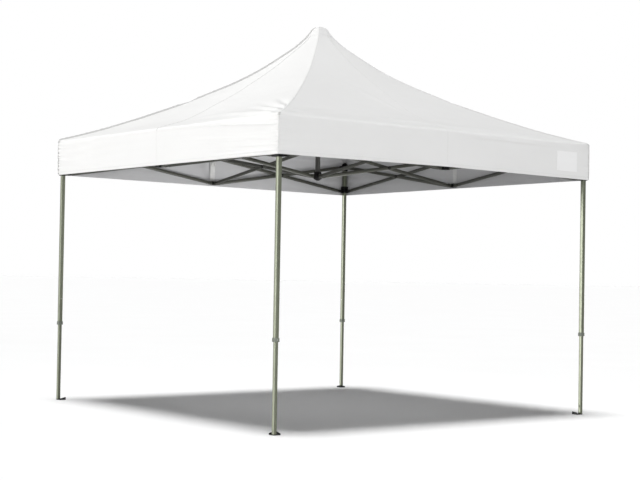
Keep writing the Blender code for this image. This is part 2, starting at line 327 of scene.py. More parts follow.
def joined(pieces, name):
    """Joins pieces that are made of one another on the real tent into one named object."""
    bpy.ops.object.select_all(action="DESELECT")
    for piece in pieces:
        piece.select_set(True)
    bpy.context.view_layer.objects.active = pieces[0]
    if len(pieces) > 1:
        bpy.ops.object.join()
    result = bpy.context.active_object
    result.name = name
    result.data.name = name
    return result


print("helpers made: modify, soften, shade, paint, joined")

# %% [markdown] ### Copying by quarter turns  The tent has four like sides and four like corners,
# so a finished piece is copied by quarter turns, and each copy rides on a body of its own. An
# Array modifier would also copy it, but into one object, and here each copy has to move by
# itself.

# %% Copying and placing
def duplicate(obj, name, matrix):
    """A copy with a mesh of its own, moved by a matrix."""
    twin = obj.copy()
    twin.data = obj.data.copy()
    bpy.context.scene.collection.objects.link(twin)
    twin.data.transform(matrix)
    twin.name = name
    twin.data.name = name
    return twin


def quarter(k):
    """The matrix of k quarter turns about the tent's middle."""
    return Matrix.Rotation(math.radians(90 * k), 4, "Z")


def stand_for(piece, node, body):
    """Lets a piece ride on a body and take the place of one of its solids, which is hidden."""
    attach(piece, body)
    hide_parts(node)


def around(master, names, bodies, replacing=False):
    """Turns a master to the four corners or sides, and lets each copy ride on its body.

    With replacing, a copy also takes the place of the solid that is named like its body."""
    made = []
    for k, (name, body) in enumerate(zip(names, bodies)):
        piece = duplicate(master, name, quarter(k))
        if replacing:
            stand_for(piece, body, body)
        else:
            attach(piece, body)
        made.append(piece)
    bpy.data.objects.remove(master, do_unlink=True)
    return made


print("a master is copied to", len(CORNERS), "corners or", len(SIDES), "sides")

# %% [markdown]
# ## Materials
#
# Each finish is a small node tree on the Principled shader. Noise read from object coordinates,
# which here are metres in the tent's own space, varies the colour a little and drives a fine
# bump, so that nothing is one flat tone. The powder coat has the fine orange peel of sprayed
# paint, the nylon has the grain of its mould, and the cloth gets a weave. Image textures could
# hold the same, but they would need a UV map on every bar, and noise needs none.

# %% Node helpers
class Tree:
    """Adds nodes to a new material and links them in one call."""

    def __init__(self, name, base, metallic, rough):
        self.material = bpy.data.materials.new(name)
        self.material.use_nodes = True
        self.nodes = self.material.node_tree.nodes
        self.links = self.material.node_tree.links
        self.shader = self.nodes["Principled BSDF"]
        self.shader.inputs["Base Color"].default_value = (*base, 1)
        self.shader.inputs["Metallic"].default_value = metallic
        self.shader.inputs["Roughness"].default_value = rough
        self.material.diffuse_color = (*base, 1)

    def node(self, kind, settings=None, **sockets):
        """Adds a node; each socket is given by its name, with _ for a space, or as _ and its number."""
        made = self.nodes.new(kind)
        for key, value in (settings or {}).items():
            setattr(made, key, value)
        for key, value in sockets.items():
            socket = made.inputs[int(key[1:]) if key[1:].isdigit() else key.replace("_", " ")]
            if hasattr(value, "is_output"):
                self.links.new(value, socket)
            else:
                socket.default_value = value
        return made

    def place(self):
        return self.node("ShaderNodeTexCoord").outputs["Object"]

    def uv(self):
        return self.node("ShaderNodeTexCoord").outputs["UV"]

    def noise(self, where, scale, detail=2.0, rough=0.5):
        return self.node("ShaderNodeTexNoise", Vector=where, Scale=scale, Detail=detail,
                         Roughness=rough).outputs["Fac"]

    def ramp(self, fac, stops):
        made = self.node("ShaderNodeValToRGB", Fac=fac)
        ramp = made.color_ramp
        for i, (at, colour) in enumerate(stops):
            stop = ramp.elements[i] if i < 2 else ramp.elements.new(at)
            stop.position, stop.color = at, (*colour, 1)
        return made.outputs["Color"]

    def math(self, operation, a, b=0.0):
        return self.node("ShaderNodeMath", {"operation": operation}, _0=a, _1=b).outputs[0]

    def spread(self, fac, low, high):
        """Turns a 0 to 1 factor into a range of its own."""
        return self.node("ShaderNodeMapRange", Value=fac, To_Min=low, To_Max=high).outputs[0]

    def bump(self, height, strength, distance, under=None):
        sockets = {"Height": height, "Strength": strength, "Distance": distance}
        if under is not None:
            sockets["Normal"] = under
        return self.node("ShaderNodeBump", **sockets).outputs["Normal"]

    def set(self, socket, value):
        self.links.new(value, self.shader.inputs[socket])


def tint(base, share):
    """A colour made darker or lighter by a share."""
    return tuple(min(1.0, c * share) for c in base)


print("node helpers made:", ", ".join(name for name in vars(Tree) if name[0] != "_"))

# %% [markdown]
# ### Paint, nylon and steel
#
# The legs and bars are sprayed and baked steel, the joints are moulded nylon, and the bolts are
# plated steel. They differ less in colour than in how they shine: the paint has patches rubbed
# smooth, the nylon is dull and dusty on its high spots, and the plating is bright and cloudy. Each
# could be built by hand in the shader editor, but one function for each kind keeps the paints
# alike: they differ only in their colour and in how metallic they are.
# The bars and the pole are made far darker than the legs: that is painted shade, for the shade under
# the roof.

# %% Paint, nylon and steel
def powder_coat(name, base, metallic):
    """Sprayed and baked paint: orange peel, faint clouds and a few rubbed patches."""
    tree = Tree(name, base, metallic, 0.42)
    where = tree.place()
    clouds = tree.noise(where, 6.0, 3)
    rubbed = tree.noise(where, 38.0, 5, 0.65)
    colour = tree.ramp(clouds, [(0.30, tint(base, 0.93)), (0.72, tint(base, 1.05))])
    worn = tree.node("ShaderNodeMix", {"data_type": "RGBA"}, _0=tree.spread(rubbed, -0.10, 0.18),
                     _6=colour, _7=(*tint(base, 1.22), 1)).outputs[2]
    peel = tree.noise(where, 620.0, 2)
    tree.set("Base Color", worn)
    tree.set("Roughness", tree.spread(rubbed, 0.34, 0.52))
    tree.set("Normal", tree.bump(peel, 0.22, 0.00025))
    return tree.material


def moulded_nylon(name, base, rough=0.5):
    """Injection-moulded plastic with the fine grain of its mould and dusty highs."""
    tree = Tree(name, base, 0.0, rough)
    where = tree.place()
    dust = tree.noise(where, 24.0, 4, 0.6)
    grain = tree.noise(where, 1500.0, 2)
    tree.set("Base Color", tree.ramp(dust, [(0.35, base), (0.78, tint(base, 1.9))]))
    tree.set("Roughness", tree.spread(dust, rough - 0.08, rough + 0.12))
    tree.set("Normal", tree.bump(grain, 0.35, 0.00012))
    tree.shader.inputs["Specular IOR Level"].default_value = 0.10
    return tree.material


def plated_steel(name, base):
    """Zinc-plated fasteners: bright, slightly cloudy, with fine turning marks."""
    tree = Tree(name, base, 1.0, 0.32)
    where = tree.place()
    cloud = tree.noise(where, 160.0, 4)
    tree.set("Base Color", tree.ramp(cloud, [(0.3, tint(base, 0.72)), (0.7, base)]))
    tree.set("Roughness", tree.spread(cloud, 0.24, 0.46))
    tree.set("Normal", tree.bump(tree.noise(where, 2600.0, 1), 0.15, 0.0001))
    return tree.material


leg_paint = powder_coat("pale powder coat", (0.140, 0.152, 0.108), 0.45)
# painted shade: the bars and the pole have the legs' paint, darkened for the shade under the roof
bar_paint_painted_shade = powder_coat("powder coat darkened as painted shade", (0.037, 0.038, 0.029), 0.15)
pole_paint_painted_shade = powder_coat("pole powder coat darkened as painted shade", (0.022, 0.022, 0.019), 0.30)
nylon = moulded_nylon("black nylon", (0.005, 0.005, 0.005))
collar_nylon = moulded_nylon("grey nylon", (0.125, 0.135, 0.115), 0.55)
foot_paint = moulded_nylon("black foot enamel", (0.014, 0.0145, 0.015), 0.38)
zinc = plated_steel("zinc plate", (0.62, 0.62, 0.60))
black_steel = plated_steel("blackened steel", (0.060, 0.060, 0.058))
print("metal and plastic finishes made")

# %% [markdown]
# ### The cloth
#
# The canopy is coated polyester. Seen from far it is plain white, so its folds must come from the
# mesh. From near it shows a square weave about a millimetre apart, so the material reads the
# piece's own UV map, which is laid out in metres along the cloth. Two sine waves, one along
# each thread direction, make the weave, and a slow noise keeps the white from looking printed.
# The inside has a coating of its own, a little greyer, and that grey is partly painted shade, so the
# underside reads darker. The cloth hardly shines, because a sheen would darken the parts that are
# seen at a low angle.

# %% Cloth
THREADS = 0.0016         # metres in which the weave repeats


def woven(tree, along, pitch):
    """A height that rises and falls with the threads, and the two coordinates it reads."""
    parts = tree.node("ShaderNodeSeparateXYZ", Vector=along)
    turn = 2 * math.pi / pitch
    warp = tree.math("SINE", tree.math("MULTIPLY", parts.outputs["X"], turn))
    weft = tree.math("SINE", tree.math("MULTIPLY", parts.outputs["Y"], turn))
    return tree.math("MULTIPLY", warp, weft), parts


def coated_cloth(name, base):
    """Coated polyester: a fine weave over a soft crumple."""
    tree = Tree(name, base, 0.0, 0.72)
    along = tree.uv()
    threads, _ = woven(tree, along, THREADS)
    slow = tree.noise(tree.place(), 1.7, 4, 0.55)
    crumple = tree.noise(along, 14.0, 5, 0.55)
    tree.set("Base Color", tree.ramp(slow, [(0.25, tint(base, 0.972)), (0.75, base)]))
    tree.set("Roughness", tree.spread(crumple, 0.62, 0.80))
    soft = tree.bump(crumple, 0.20, 0.004)
    tree.set("Normal", tree.bump(threads, 0.30, 0.00012, soft))
    tree.shader.inputs["Specular IOR Level"].default_value = 0.05
    return tree.material


cloth_white = coated_cloth("white canopy cloth", (0.722, 0.722, 0.718))
# partly painted shade: the inner coating is made greyer so that the underside reads as shaded
inner_coating_painted_shade = coated_cloth("inner coating greyed as painted shade", (0.43, 0.43, 0.435))
print("cloth made:", cloth_white.name, "and", inner_coating_painted_shade.name)

# %% [markdown]
# ### Seam tape, webbing and floor
#
# The seam tape is the same cloth with a row of lockstitches along each edge. A stitch is sunken
# and a little darker: a sine wave along the strip makes the dashes, and the distance from its
# middle line says where the rows are. The stitches could be modelled, but there are thousands,
# each under a millimetre thick, so the material draws them. The webbing has ribs that slant to
# and fro, as a herringbone does. The floor is matt and nearly white, as in a studio.

# %% Seam tape, webbing and floor
STITCH = 0.0062          # metres from one stitch to the next


def stitched_tape(name, base, rows=(0.0035,)):
    """Seam tape; rows are the distances of its stitch rows from the middle line."""
    tree = Tree(name, base, 0.0, 0.75)
    along = tree.uv()
    threads, parts = woven(tree, along, THREADS)
    dash = tree.math("SINE", tree.math("MULTIPLY", parts.outputs["X"], 2 * math.pi / STITCH))
    dash = tree.math("GREATER_THAN", dash, -0.35)
    across = tree.math("ABSOLUTE", parts.outputs["Y"])
    line = None
    for row in rows:
        near = tree.math("LESS_THAN", tree.math("ABSOLUTE", tree.math("SUBTRACT", across, row)), 0.0006)
        line = near if line is None else tree.math("MAXIMUM", line, near)
    stitches = tree.math("MULTIPLY", dash, line)
    colour = tree.node("ShaderNodeMix", {"data_type": "RGBA"}, _0=stitches, _6=(*base, 1),
                       _7=(*tint(base, 0.80), 1)).outputs[2]
    tree.set("Base Color", colour)
    soft = tree.bump(threads, 0.25, 0.0001)
    tree.set("Normal", tree.bump(tree.math("SUBTRACT", 1.0, stitches), 0.6, 0.0004, soft))
    tree.shader.inputs["Specular IOR Level"].default_value = 0.05
    return tree.material


def webbing(name, base):
    """Woven strap: ribs across its width that read as a fine herringbone."""
    tree = Tree(name, base, 0.0, 0.8)
    parts = tree.node("ShaderNodeSeparateXYZ", Vector=tree.uv())
    stripe = tree.math("FRACT", tree.math("MULTIPLY", parts.outputs["Y"], 160.0))
    zigzag = tree.math("ABSOLUTE", tree.math("SUBTRACT", stripe, 0.5))
    slant = tree.math("ADD", parts.outputs["X"], zigzag)
    ribs = tree.math("SINE", tree.math("MULTIPLY", slant, 2 * math.pi / 0.0022))
    dust = tree.noise(tree.place(), 40.0, 3)
    tree.set("Base Color", tree.ramp(dust, [(0.3, tint(base, 0.9)), (0.7, base)]))
    tree.set("Normal", tree.bump(ribs, 0.5, 0.0003))
    return tree.material


def pale_floor():
    """A matt, nearly white studio floor."""
    tree = Tree("pale floor", (0.95, 0.95, 0.95), 0.0, 0.8)
    clouds = tree.noise(tree.place(), 0.6, 3)
    tree.set("Base Color", tree.ramp(clouds, [(0.3, (0.965, 0.965, 0.965)),
                                              (0.7, (0.98, 0.98, 0.98))]))
    return tree.material


tape_white = stitched_tape("white seam tape", (0.71, 0.71, 0.705))
# painted shade: the same seam tape made grey, for the shade along the left and back seams and the back
# ridge fin
seam_tape_painted_shade = stitched_tape("seam tape greyed as painted shade", (0.57, 0.57, 0.565))
tab_grey = webbing("grey tab webbing", (0.52, 0.52, 0.51))
strap_white = webbing("white webbing", (0.54, 0.54, 0.53))
paint(floor, pale_floor())
print("tape, webbing and floor finishes made")

# %% [markdown]
# ## One bar of a crossed pair
#
# The bars are oval steel tubes whose ends are pressed flat where they enter a fork. The tube is a
# cylinder squeezed to an oval. Each end is a thin plate with a round nose, made by bevelling a
# block's two end edges, and it narrows where it runs into the tube. One long cylinder with loop
# cuts near its ends could be pressed flat instead, but a loop cut needs Blender's window. The bar
# is made lying along X from its first pivot, and later laid between its real pivots.

# %% Model the plain bar
def oval_tube():
    """The tube between the pressed ends, squeezed from a round one."""
    tube = rod((0.024, 0, 0), (BAR_LONG - 0.024, 0, 0), BAR_DEEP / 2 - 0.0002, 32)
    choose(tube, "VERT", lambda at, normal: True)
    bpy.ops.transform.resize(value=(1, BAR_THICK / BAR_DEEP * 0.96, 1), center_override=(0, 0, 0))
    done()
    soften(tube, 0.0012, 2, 60)
    return paint(shade(tube), bar_paint_painted_shade)


def flat_end(at, inward):
    """The pressed end of a bar around its pivot, narrowing into the tube."""
    r = BAR_DEEP / 2 - 0.0003
    tip, root = at - inward * r, at + inward * 0.034
    plate = block((min(tip, root), -0.0048, -r), (max(tip, root), 0.0048, r))
    choose(plate, "FACE", lambda p, normal: normal.x * inward > 0.9)
    bpy.ops.transform.resize(value=(1, 0.70, 0.72), center_override=(root, 0, 0))
    done()
    choose(plate, "EDGE", lambda p, way: abs(way.y) > 0.9 and abs(p.x - tip) < 1e-4)
    bpy.ops.mesh.bevel(offset=r * 0.98, segments=8, affect="EDGES")
    done()
    soften(plate, 0.0010, 2)
    return paint(shade(plate), bar_paint_painted_shade)


def plain_bar():
    """The tube and its two pressed ends."""
    return joined([oval_tube(), flat_end(0.0, 1), flat_end(BAR_LONG, -1)], "plain bar")


bar_plain = plain_bar()
print("plain bar:", len(bar_plain.data.polygons), "faces")

# %% [markdown]
# ### The bar that carries the cross pivot
#
# Where two bars cross, a rivet holds them, and a thick black washer keeps the paint of one off
# the other. In the photograph these washers are the dark knots along the crossings. The rivet's
# heads are domed: a short cylinder whose outer rim is bevelled with several segments. Half a
# sphere would stand too high for the head of a rivet.

# %% Model the bar with its rivet
def domed(start, end, radius, dome):
    """A disc from start to end along Y with a rounded rim at its end."""
    disc = rod((BAR_LONG / 2, start, 0), (BAR_LONG / 2, end, 0), radius, 28)
    choose(disc, "FACE", lambda at, normal: abs(at.y - end) < 1e-5)
    bpy.ops.mesh.bevel(offset=dome, segments=3, affect="EDGES")
    done()
    return shade(disc, 50)


def riveted_bar():
    """A bar with the rivet that reaches through its partner, two heads and three washers."""
    half = BAR_THICK / 2
    other = -2 * OFFSET          # the middle of the partner bar
    between = domed(-half + 0.0005, other + half + 0.0003, 0.0145, 0.0008)
    washer = domed(half - 0.0006, half + 0.0026, 0.0140, 0.0012)
    shank = rod((BAR_LONG / 2, half, 0), (BAR_LONG / 2, other - half - 0.002, 0), 0.0030, 16)
    near_head = domed(half + 0.0022, half + 0.0050, 0.0062, 0.0022)
    far_washer = domed(other - half + 0.0004, other - half - 0.0026, 0.0140, 0.0010)
    far_head = domed(other - half - 0.0022, other - half - 0.0048, 0.0060, 0.0020)
    for piece in (between, washer, far_washer):
        paint(piece, nylon)
    for piece in (shank, near_head, far_head):
        paint(shade(piece), black_steel)
    return joined([plain_bar(), between, washer, shank, near_head, far_washer, far_head],
                  "riveted bar")


bar_riveted = riveted_bar()
print("riveted bar:", len(bar_riveted.data.polygons), "faces")

# %% [markdown]
# ### Lay the bars in place
#
# The frame has 24 bars: two crossed pairs on each side and one pair as a spoke from the middle to
# each side. Each bar is a copy of one of the two masters, turned so that its length runs from
# pivot to pivot and its rivet points at its partner. Angles for each bar could be worked out and
# typed in, but its two pivots already say where it lies.

# %% Copy the bars to their pivots
def lie(start, end, partner):
    """The matrix that lays a master bar from start to end, its -Y side towards its partner."""
    start, end = Vector(start), Vector(end)
    along = (end - start).normalized()
    side = Vector(partner) * -1
    third = along.cross(side)
    turn = Matrix((along, side, third)).transposed().to_4x4()
    return Matrix.Translation(start) @ turn


def bars_of(side):
    """Name, master, start, end and way to the partner of a side's bars, as for the front."""
    bars = []
    for half, sign in (("a", -1), ("b", 1)):
        near, far = sign * SIDE_TO_PIVOT, sign * (LEG - LEG_TO_PIVOT)
        bars.append(("truss_%s_%s_up" % (side, half), bar_riveted,
                     (near, -LEG + OFFSET, Z_LOW), (far, -LEG + OFFSET, Z_TOP), (0, -1, 0)))
        bars.append(("truss_%s_%s_down" % (side, half), bar_plain,
                     (near, -LEG - OFFSET, Z_TOP), (far, -LEG - OFFSET, Z_LOW), (0, -1, 0)))
    near, far = -HUB_TO_SPOKE, -(LEG - SIDE_TO_SPOKE)
    bars.append(("spoke_%s_down" % side, bar_riveted,
                 (OFFSET, near, Z_TOP), (OFFSET, far, Z_LOW), (-1, 0, 0)))
    bars.append(("spoke_%s_up" % side, bar_plain,
                 (-OFFSET, near, Z_LOW), (-OFFSET, far, Z_TOP), (-1, 0, 0)))
    return bars


laid = 0
for k, side in enumerate(SIDES):
    for name, master, start, end, partner in bars_of(side):
        piece = duplicate(master, "bar_" + name, quarter(k) @ lie(start, end, partner))
        stand_for(piece, name, name)
        laid += 1
for master in (bar_plain, bar_riveted):
    bpy.data.objects.remove(master, do_unlink=True)
print("bars laid:", laid)

# %% [markdown]
# ## Forks
#
# Every bar ends in a fork: two cheeks with a bolt through them. The bolt has a six-sided head and
# a nut, which are cylinders with six sides and a softened rim, and a washer lies under each. Its
# thread could be modelled with a Screw modifier, but the nut hides it, so the shank is plain.

# %% Model the bolt
FORK_HALF = BAR_THICK / 2 + 0.0003      # a fork's middle plane to the inside of a cheek
CHEEK = 0.0035                          # a cheek's thickness
CHEEK_HIGH = 0.015                      # half a cheek's height
WASHER = 0.0008


def hexagon(start, end, across):
    """A bolt head or nut: six flats, its outer rim chamfered."""
    head = rod(start, end, across / math.sqrt(3), 6)
    return paint(shade(soften(head, 0.0007, 2, 50), 30), black_steel)


def bolt_through(at, reach):
    """The fork's bolt with its washers, head and nut; at(a, b, c) is a point of the fork."""
    outer = FORK_HALF + CHEEK
    shank = rod(at(reach, -outer - 0.004, 0), at(reach, outer + 0.004, 0), 0.0030, 16)
    pieces = [paint(shade(shank), black_steel)]
    for face, size, thick in ((-1, 0.0095, 0.0036), (1, 0.0100, 0.0030)):
        under, over = face * outer, face * (outer + WASHER)
        washer = rod(at(reach, under, 0), at(reach, over, 0), 0.0063, 24)
        pieces.append(paint(shade(washer), black_steel))
        end = face * (outer + WASHER + thick)
        pieces.append(hexagon(at(reach, over, 0), at(reach, end, 0), size))
    return pieces


print("a bolt holds %.1f mm between its washers" % ((FORK_HALF + CHEEK) * 2 * 1000))

# %% [markdown]
# ### Cheeks
#
# All the joints, brackets, sliders and hubs carry forks, so one function makes them at any place.
# A cheek is a thin block whose outer end is bevelled round. It could be a block joined to a disc,
# but the bevel leaves no seam between the two. On the side joints and hubs the cheeks are painted
# steel like the bars, on the legs they are black nylon.

# %% Model a fork
def fork(way, root, reach, centre, lateral, z, finish, high=CHEEK_HIGH):
    """A fork along +X, -X, +Y or -Y, whose cheeks start at root and whose bolt is at reach.

    Both are measured from centre. lateral is how far its bar lies from the pair's plane."""
    sign = 1 if way[0] == "+" else -1
    along_x = way[1] == "X"
    along, across = (0, 1) if along_x else (1, 0)
    cx, cy = centre

    def at(a, b, c):
        """A point at a along the fork, b across it and c up from the pivot."""
        if along_x:
            return (cx + sign * a, cy + lateral + b, z + c)
        return (cx + lateral + b, cy + sign * a, z + c)

    tip = at(reach + high, 0, 0)[along]
    pieces = []
    for face in (-1, 1):
        corners = [at(root, face * FORK_HALF, -high),
                   at(reach + high, face * (FORK_HALF + CHEEK), high)]
        cheek = block([min(p) for p in zip(*corners)], [max(p) for p in zip(*corners)])
        choose(cheek, "EDGE", lambda p, d: abs(d[across]) > 0.9 and abs(p[along] - tip) < 1e-4)
        bpy.ops.mesh.bevel(offset=high * 0.97, segments=7, affect="EDGES")
        done()
        soften(cheek, 0.0006, 2)
        pieces.append(paint(shade(cheek), finish))
    return pieces + bolt_through(at, reach)


print("a cheek is %.0f mm high and %.1f mm thick" % (CHEEK_HIGH * 2 * 1000, CHEEK * 1000))

# %% [markdown]
# ## Side joints
#
# In the middle of each side a lower and an upper nylon block join the two crossed pairs and the
# spoke. The block's open faces are hollowed, as moulded parts are, to save plastic: a face is
# inset and pushed in. A Boolean with a smaller block would hollow it too, but inset keeps the rim
# even and the faces square.

# %% Model the side joints
def hollow_block(low, high, faces, rim=0.0035, depth=0.006):
    """A moulded block; the faces that point along the given directions are hollowed."""
    body = block(low, high)
    for direction in faces:
        want = Vector(direction)
        choose(body, "FACE", lambda at, normal: normal.dot(want) > 0.99)
        bpy.ops.mesh.inset(thickness=rim, depth=0)
        bpy.ops.mesh.inset(thickness=0.0004, depth=-depth)
        done()
    soften(body, 0.0014, 2)
    return paint(shade(body), nylon)


CORE_LONG = 0.026        # half the length of a side joint's block
CORE_WIDE = 0.019        # half its width
CORE_HIGH = 0.0165       # half its height


def side_joint(z, lateral, open_face):
    """The front side's joint at a height; lateral is how far its bars lie from their plane."""
    low = (-CORE_LONG, -LEG - CORE_WIDE, z - CORE_HIGH)
    high = (CORE_LONG, -LEG + CORE_WIDE, z + CORE_HIGH)
    pieces = [hollow_block(low, high, [(0, 0, open_face), (0, -1, 0)])]
    for way in ("-X", "+X"):
        pieces += fork(way, 0.0240, SIDE_TO_PIVOT, (0, -LEG), lateral, z, bar_paint_painted_shade)
    pieces += fork("+Y", 0.0165, SIDE_TO_SPOKE, (0, -LEG), lateral, z, bar_paint_painted_shade)
    return joined(pieces, "side joint")


for row, z, lateral, face in (("low", Z_LOW, OFFSET, -1), ("top", Z_TOP, -OFFSET, 1)):
    names = ["joint_%s_%s" % (side, row) for side in SIDES]
    blocks = ["block_" + name for name in names]
    placed = around(side_joint(z, lateral, face), blocks, names, replacing=True)
    print(row, "side joints:", len(placed), "of", len(placed[0].data.polygons), "faces")

# %% [markdown]
# ## Hubs
#
# Two round hubs hold the spokes in the middle. The lower one ends in a cone below and has a raised
# seat above, which shows black under the roof. A hub is a cylinder whose cap is extruded and
# resized to make each step of its profile. Spin could turn the profile into the same shape, but
# it leaves a seam to merge and normals to mend.

# %% Model the hubs
def stepped(radius, low, high, top_steps, bottom_steps, sides=40):
    """A cylinder whose ends are stepped: each step is (new radius, move along the axis)."""
    body = rod((0, 0, low), (0, 0, high), radius, sides)
    for steps, sign in ((top_steps, 1), (bottom_steps, -1)):
        choose(body, "FACE", lambda at, normal: normal.z * sign > 0.99)
        now = radius
        for new, move in steps:
            bpy.ops.mesh.extrude_region_move(TRANSFORM_OT_translate={"value": (0, 0, sign * move)})
            bpy.ops.transform.resize(value=(new / now, new / now, 1),
                                     center_override=(0, 0, 0))
            now = new
        done()
    return body


HUB_RIM = 0.036          # a hub's radius


def hub(z, lateral, low, high, top, bottom):
    """A hub at a height, from low to high off it, with the steps of its two ends."""
    core = stepped(HUB_RIM, z + low, z + high, top, bottom)
    soften(core, 0.0008, 2, 30)
    pieces = [paint(shade(core, 45), nylon)]
    for k in range(4):
        for piece in fork("-Y", 0.0335, HUB_TO_SPOKE, (0, 0), lateral, z, bar_paint_painted_shade):
            piece.data.transform(quarter(k))
            pieces.append(piece)
    return joined(pieces, "hub")


CHAMFER = [(0.0335, 0.003), (0.030, 0.001)]
SEAT = [(0.0305, 0.003), (0.0295, 0.0165)]
CONE = [(0.0350, 0.0020), (0.0305, 0.0060), (0.0200, 0.0085), (0.0100, 0.0048), (0.001, 0.0008)]
upper = hub(Z_TOP, OFFSET, -0.016, 0.018, CHAMFER, CHAMFER)
lower = hub(Z_LOW, -OFFSET, -0.015, 0.014, SEAT, CONE)
for piece, node, body in ((upper, "hub_upper", "hub_and_pole"), (lower, "hub_lower", "hub_lower")):
    piece.name = "cast_" + node
    stand_for(piece, node, body)
    print(piece.name, "made of", len(piece.data.polygons), "faces")

# %% [markdown]
# ### Centre pole
#
# The square pole passes through the upper hub and a sleeve on it, and lifts the cloth with a
# mushroom head. Head and sleeve are stepped cylinders, as the hubs are. One Bevel modifier could
# round all of the pole's edges, but its long corners are rounder than its ends, so they are
# bevelled first, by themselves.

# %% Model the pole
POLE = 0.015             # half the width of the square pole
pole = block((-POLE, -POLE, Z_LOW + 0.035), (POLE, POLE, Z_PEAK - 0.058))
choose(pole, "EDGE", lambda at, way: abs(way.z) > 0.9)
bpy.ops.mesh.bevel(offset=0.0028, segments=4, affect="EDGES")
done()
soften(pole, 0.0005, 2, 40)
paint(shade(pole, 32), pole_paint_painted_shade)
head = stepped(0.0335, Z_PEAK - 0.060, Z_PEAK - 0.040,
               [(0.0345, 0.006), (0.0335, 0.006), (0.0300, 0.0065), (0.0220, 0.0060),
                (0.0120, 0.0030), (0.002, 0.0008)], [(0.0225, 0.006)])
paint(shade(head, 45), nylon)
sleeve = stepped(0.0245, Z_TOP + 0.0215, Z_TOP + 0.046, [(0.0225, 0.003)], [], 36)
soften(sleeve, 0.0010, 2, 40)
paint(shade(sleeve, 45), nylon)
pole = joined([pole, head, sleeve], "pole_centre")
stand_for(pole, "centre_pole", "hub_and_pole")
print("the pole reaches up to %.3f m" % max(v.co.z for v in pole.data.vertices))

# %% [markdown]
# ## Legs
#
# A leg is a square outer tube with a thinner one inside. Both start as a cube with its long edges
# bevelled and its two ends removed, and a Solidify modifier gives the wall its thickness. Two
# blocks and a Boolean would make a tube too, but its corners would have to be rounded twice.

# %% Model a square tube
OUTER = 0.015                       # half the width of the outer tube
INNER = 0.0124                      # and of the inner one
TUBE_LOW = 0.620
TUBE_HIGH = Z_TOP - 0.028
HOLES = (0.738, 0.829, 0.920)       # heights of the snap button's holes


def leg_block(half, low, high):
    """A square block around the front left leg's axis."""
    return block((-LEG - half, -LEG - half, low), (-LEG + half, -LEG + half, high))


def square_tube(half, low, high, wall, corner):
    """An open square tube around the front left leg's axis."""
    tube = leg_block(half, low, high)
    choose(tube, "EDGE", lambda at, way: abs(way.z) > 0.9)
    bpy.ops.mesh.bevel(offset=corner, segments=4, affect="EDGES")
    done()
    choose(tube, "FACE", lambda at, normal: abs(normal.z) > 0.9)
    bpy.ops.mesh.delete(type="FACE")
    done()
    return modify(tube, "SOLIDIFY", thickness=wall, offset=-1)


def drill(body, drills):
    """Cuts holes with a Boolean and removes the drills."""
    tool = joined(drills, "drill")
    modify(body, "BOOLEAN", operation="DIFFERENCE", solver="EXACT", object=tool)
    bpy.data.objects.remove(tool, do_unlink=True)
    return body


print("the outer tube is %.3f m long" % (TUBE_HIGH - TUBE_LOW))

# %% [markdown]
# ### Outer tube and snap button
#
# A Boolean with three small cylinders drills the row of holes that the snap button clicks into.
# The button sits in the middle hole: in the photograph only a dark dot shows. A dark dot in the
# paint would do from afar, but from near a hole has to show the wall that it goes through.

# %% Model the outer tube and its snap button
def outer_tube():
    """The outer tube with the three holes for the snap button."""
    tube = square_tube(OUTER, TUBE_LOW, TUBE_HIGH, 0.0016, 0.0030)
    drills = [rod((-LEG + 0.008, -LEG, z), (-LEG + 0.020, -LEG, z), 0.0046, 24) for z in HOLES]
    drill(tube, drills)
    return paint(shade(tube, 30), leg_paint)


def snap_button():
    """The button of the inner leg that stands out through the middle hole."""
    button = rod((-LEG + 0.0095, -LEG, HOLES[1]), (-LEG + 0.0158, -LEG, HOLES[1]), 0.0041, 24)
    choose(button, "FACE", lambda at, normal: normal.x > 0.9)
    bpy.ops.mesh.bevel(offset=0.0017, segments=4, affect="EDGES")
    done()
    return paint(shade(button, 60), zinc)


OUTER_LEGS = ["leg_outer_" + c for c in CORNERS]
INNER_LEGS = ["leg_inner_" + c for c in CORNERS]
tubes = around(outer_tube(), ["tube_outer_" + c for c in CORNERS], OUTER_LEGS, replacing=True)
buttons = around(snap_button(), ["snap_button_" + c for c in CORNERS], INNER_LEGS)
print("outer tubes:", len(tubes), "snap buttons:", len(buttons))

# %% [markdown]
# ### Collar
#
# A grey nylon collar closes the gap between the two tubes: a block with a square hole, a narrower
# rim round its upper end and a small screw. A plain block would look the same from outside, but
# the tubes would run through it, so a Boolean bores it for them in two widths.

# %% Model the collar
COLLAR = 0.019           # half the width of the collar, and of the bracket


def collar():
    """The collar: a block with a rim, bored in two widths for the two tubes, and its screw."""
    low, high = 0.616, 0.640
    body = leg_block(COLLAR, low, high)
    choose(body, "EDGE", lambda at, way: abs(way.z) > 0.9)
    bpy.ops.mesh.bevel(offset=0.0042, segments=4, affect="EDGES")
    done()
    choose(body, "FACE", lambda at, normal: normal.z > 0.9)
    bpy.ops.mesh.inset(thickness=0.0022, depth=0)
    bpy.ops.mesh.extrude_region_move(TRANSFORM_OT_translate={"value": (0, 0, 0.004)})
    bpy.ops.transform.resize(value=(0.985, 0.985, 1), center_override=(-LEG, -LEG, 0))
    done()
    drill(body, [leg_block(OUTER + 0.0001, low + 0.004, 0.7), leg_block(0.0127, 0.6, 0.63)])
    soften(body, 0.0009, 2, 40)
    paint(shade(body, 32), collar_nylon)
    screw = rod((-LEG, -LEG - 0.0185, 0.629), (-LEG, -LEG - 0.0202, 0.629), 0.0032, 20)
    choose(screw, "FACE", lambda at, normal: normal.y < -0.9)
    bpy.ops.mesh.inset(thickness=0.0014, depth=-0.0005)
    done()
    return joined([body, paint(shade(screw), zinc)], "collar")


collars = around(collar(), ["collar_" + c for c in CORNERS], OUTER_LEGS)
print("collars:", len(collars), "of", len(collars[0].data.polygons), "faces")

# %% [markdown]
# ### Top bracket
#
# At the top of each leg a black nylon bracket holds the first fork of both sides. Its head grows
# narrower in steps and is rounded, because the corner of the canopy rests on it. Half a sphere on
# the block would be as round, but it would meet the square block with a step.

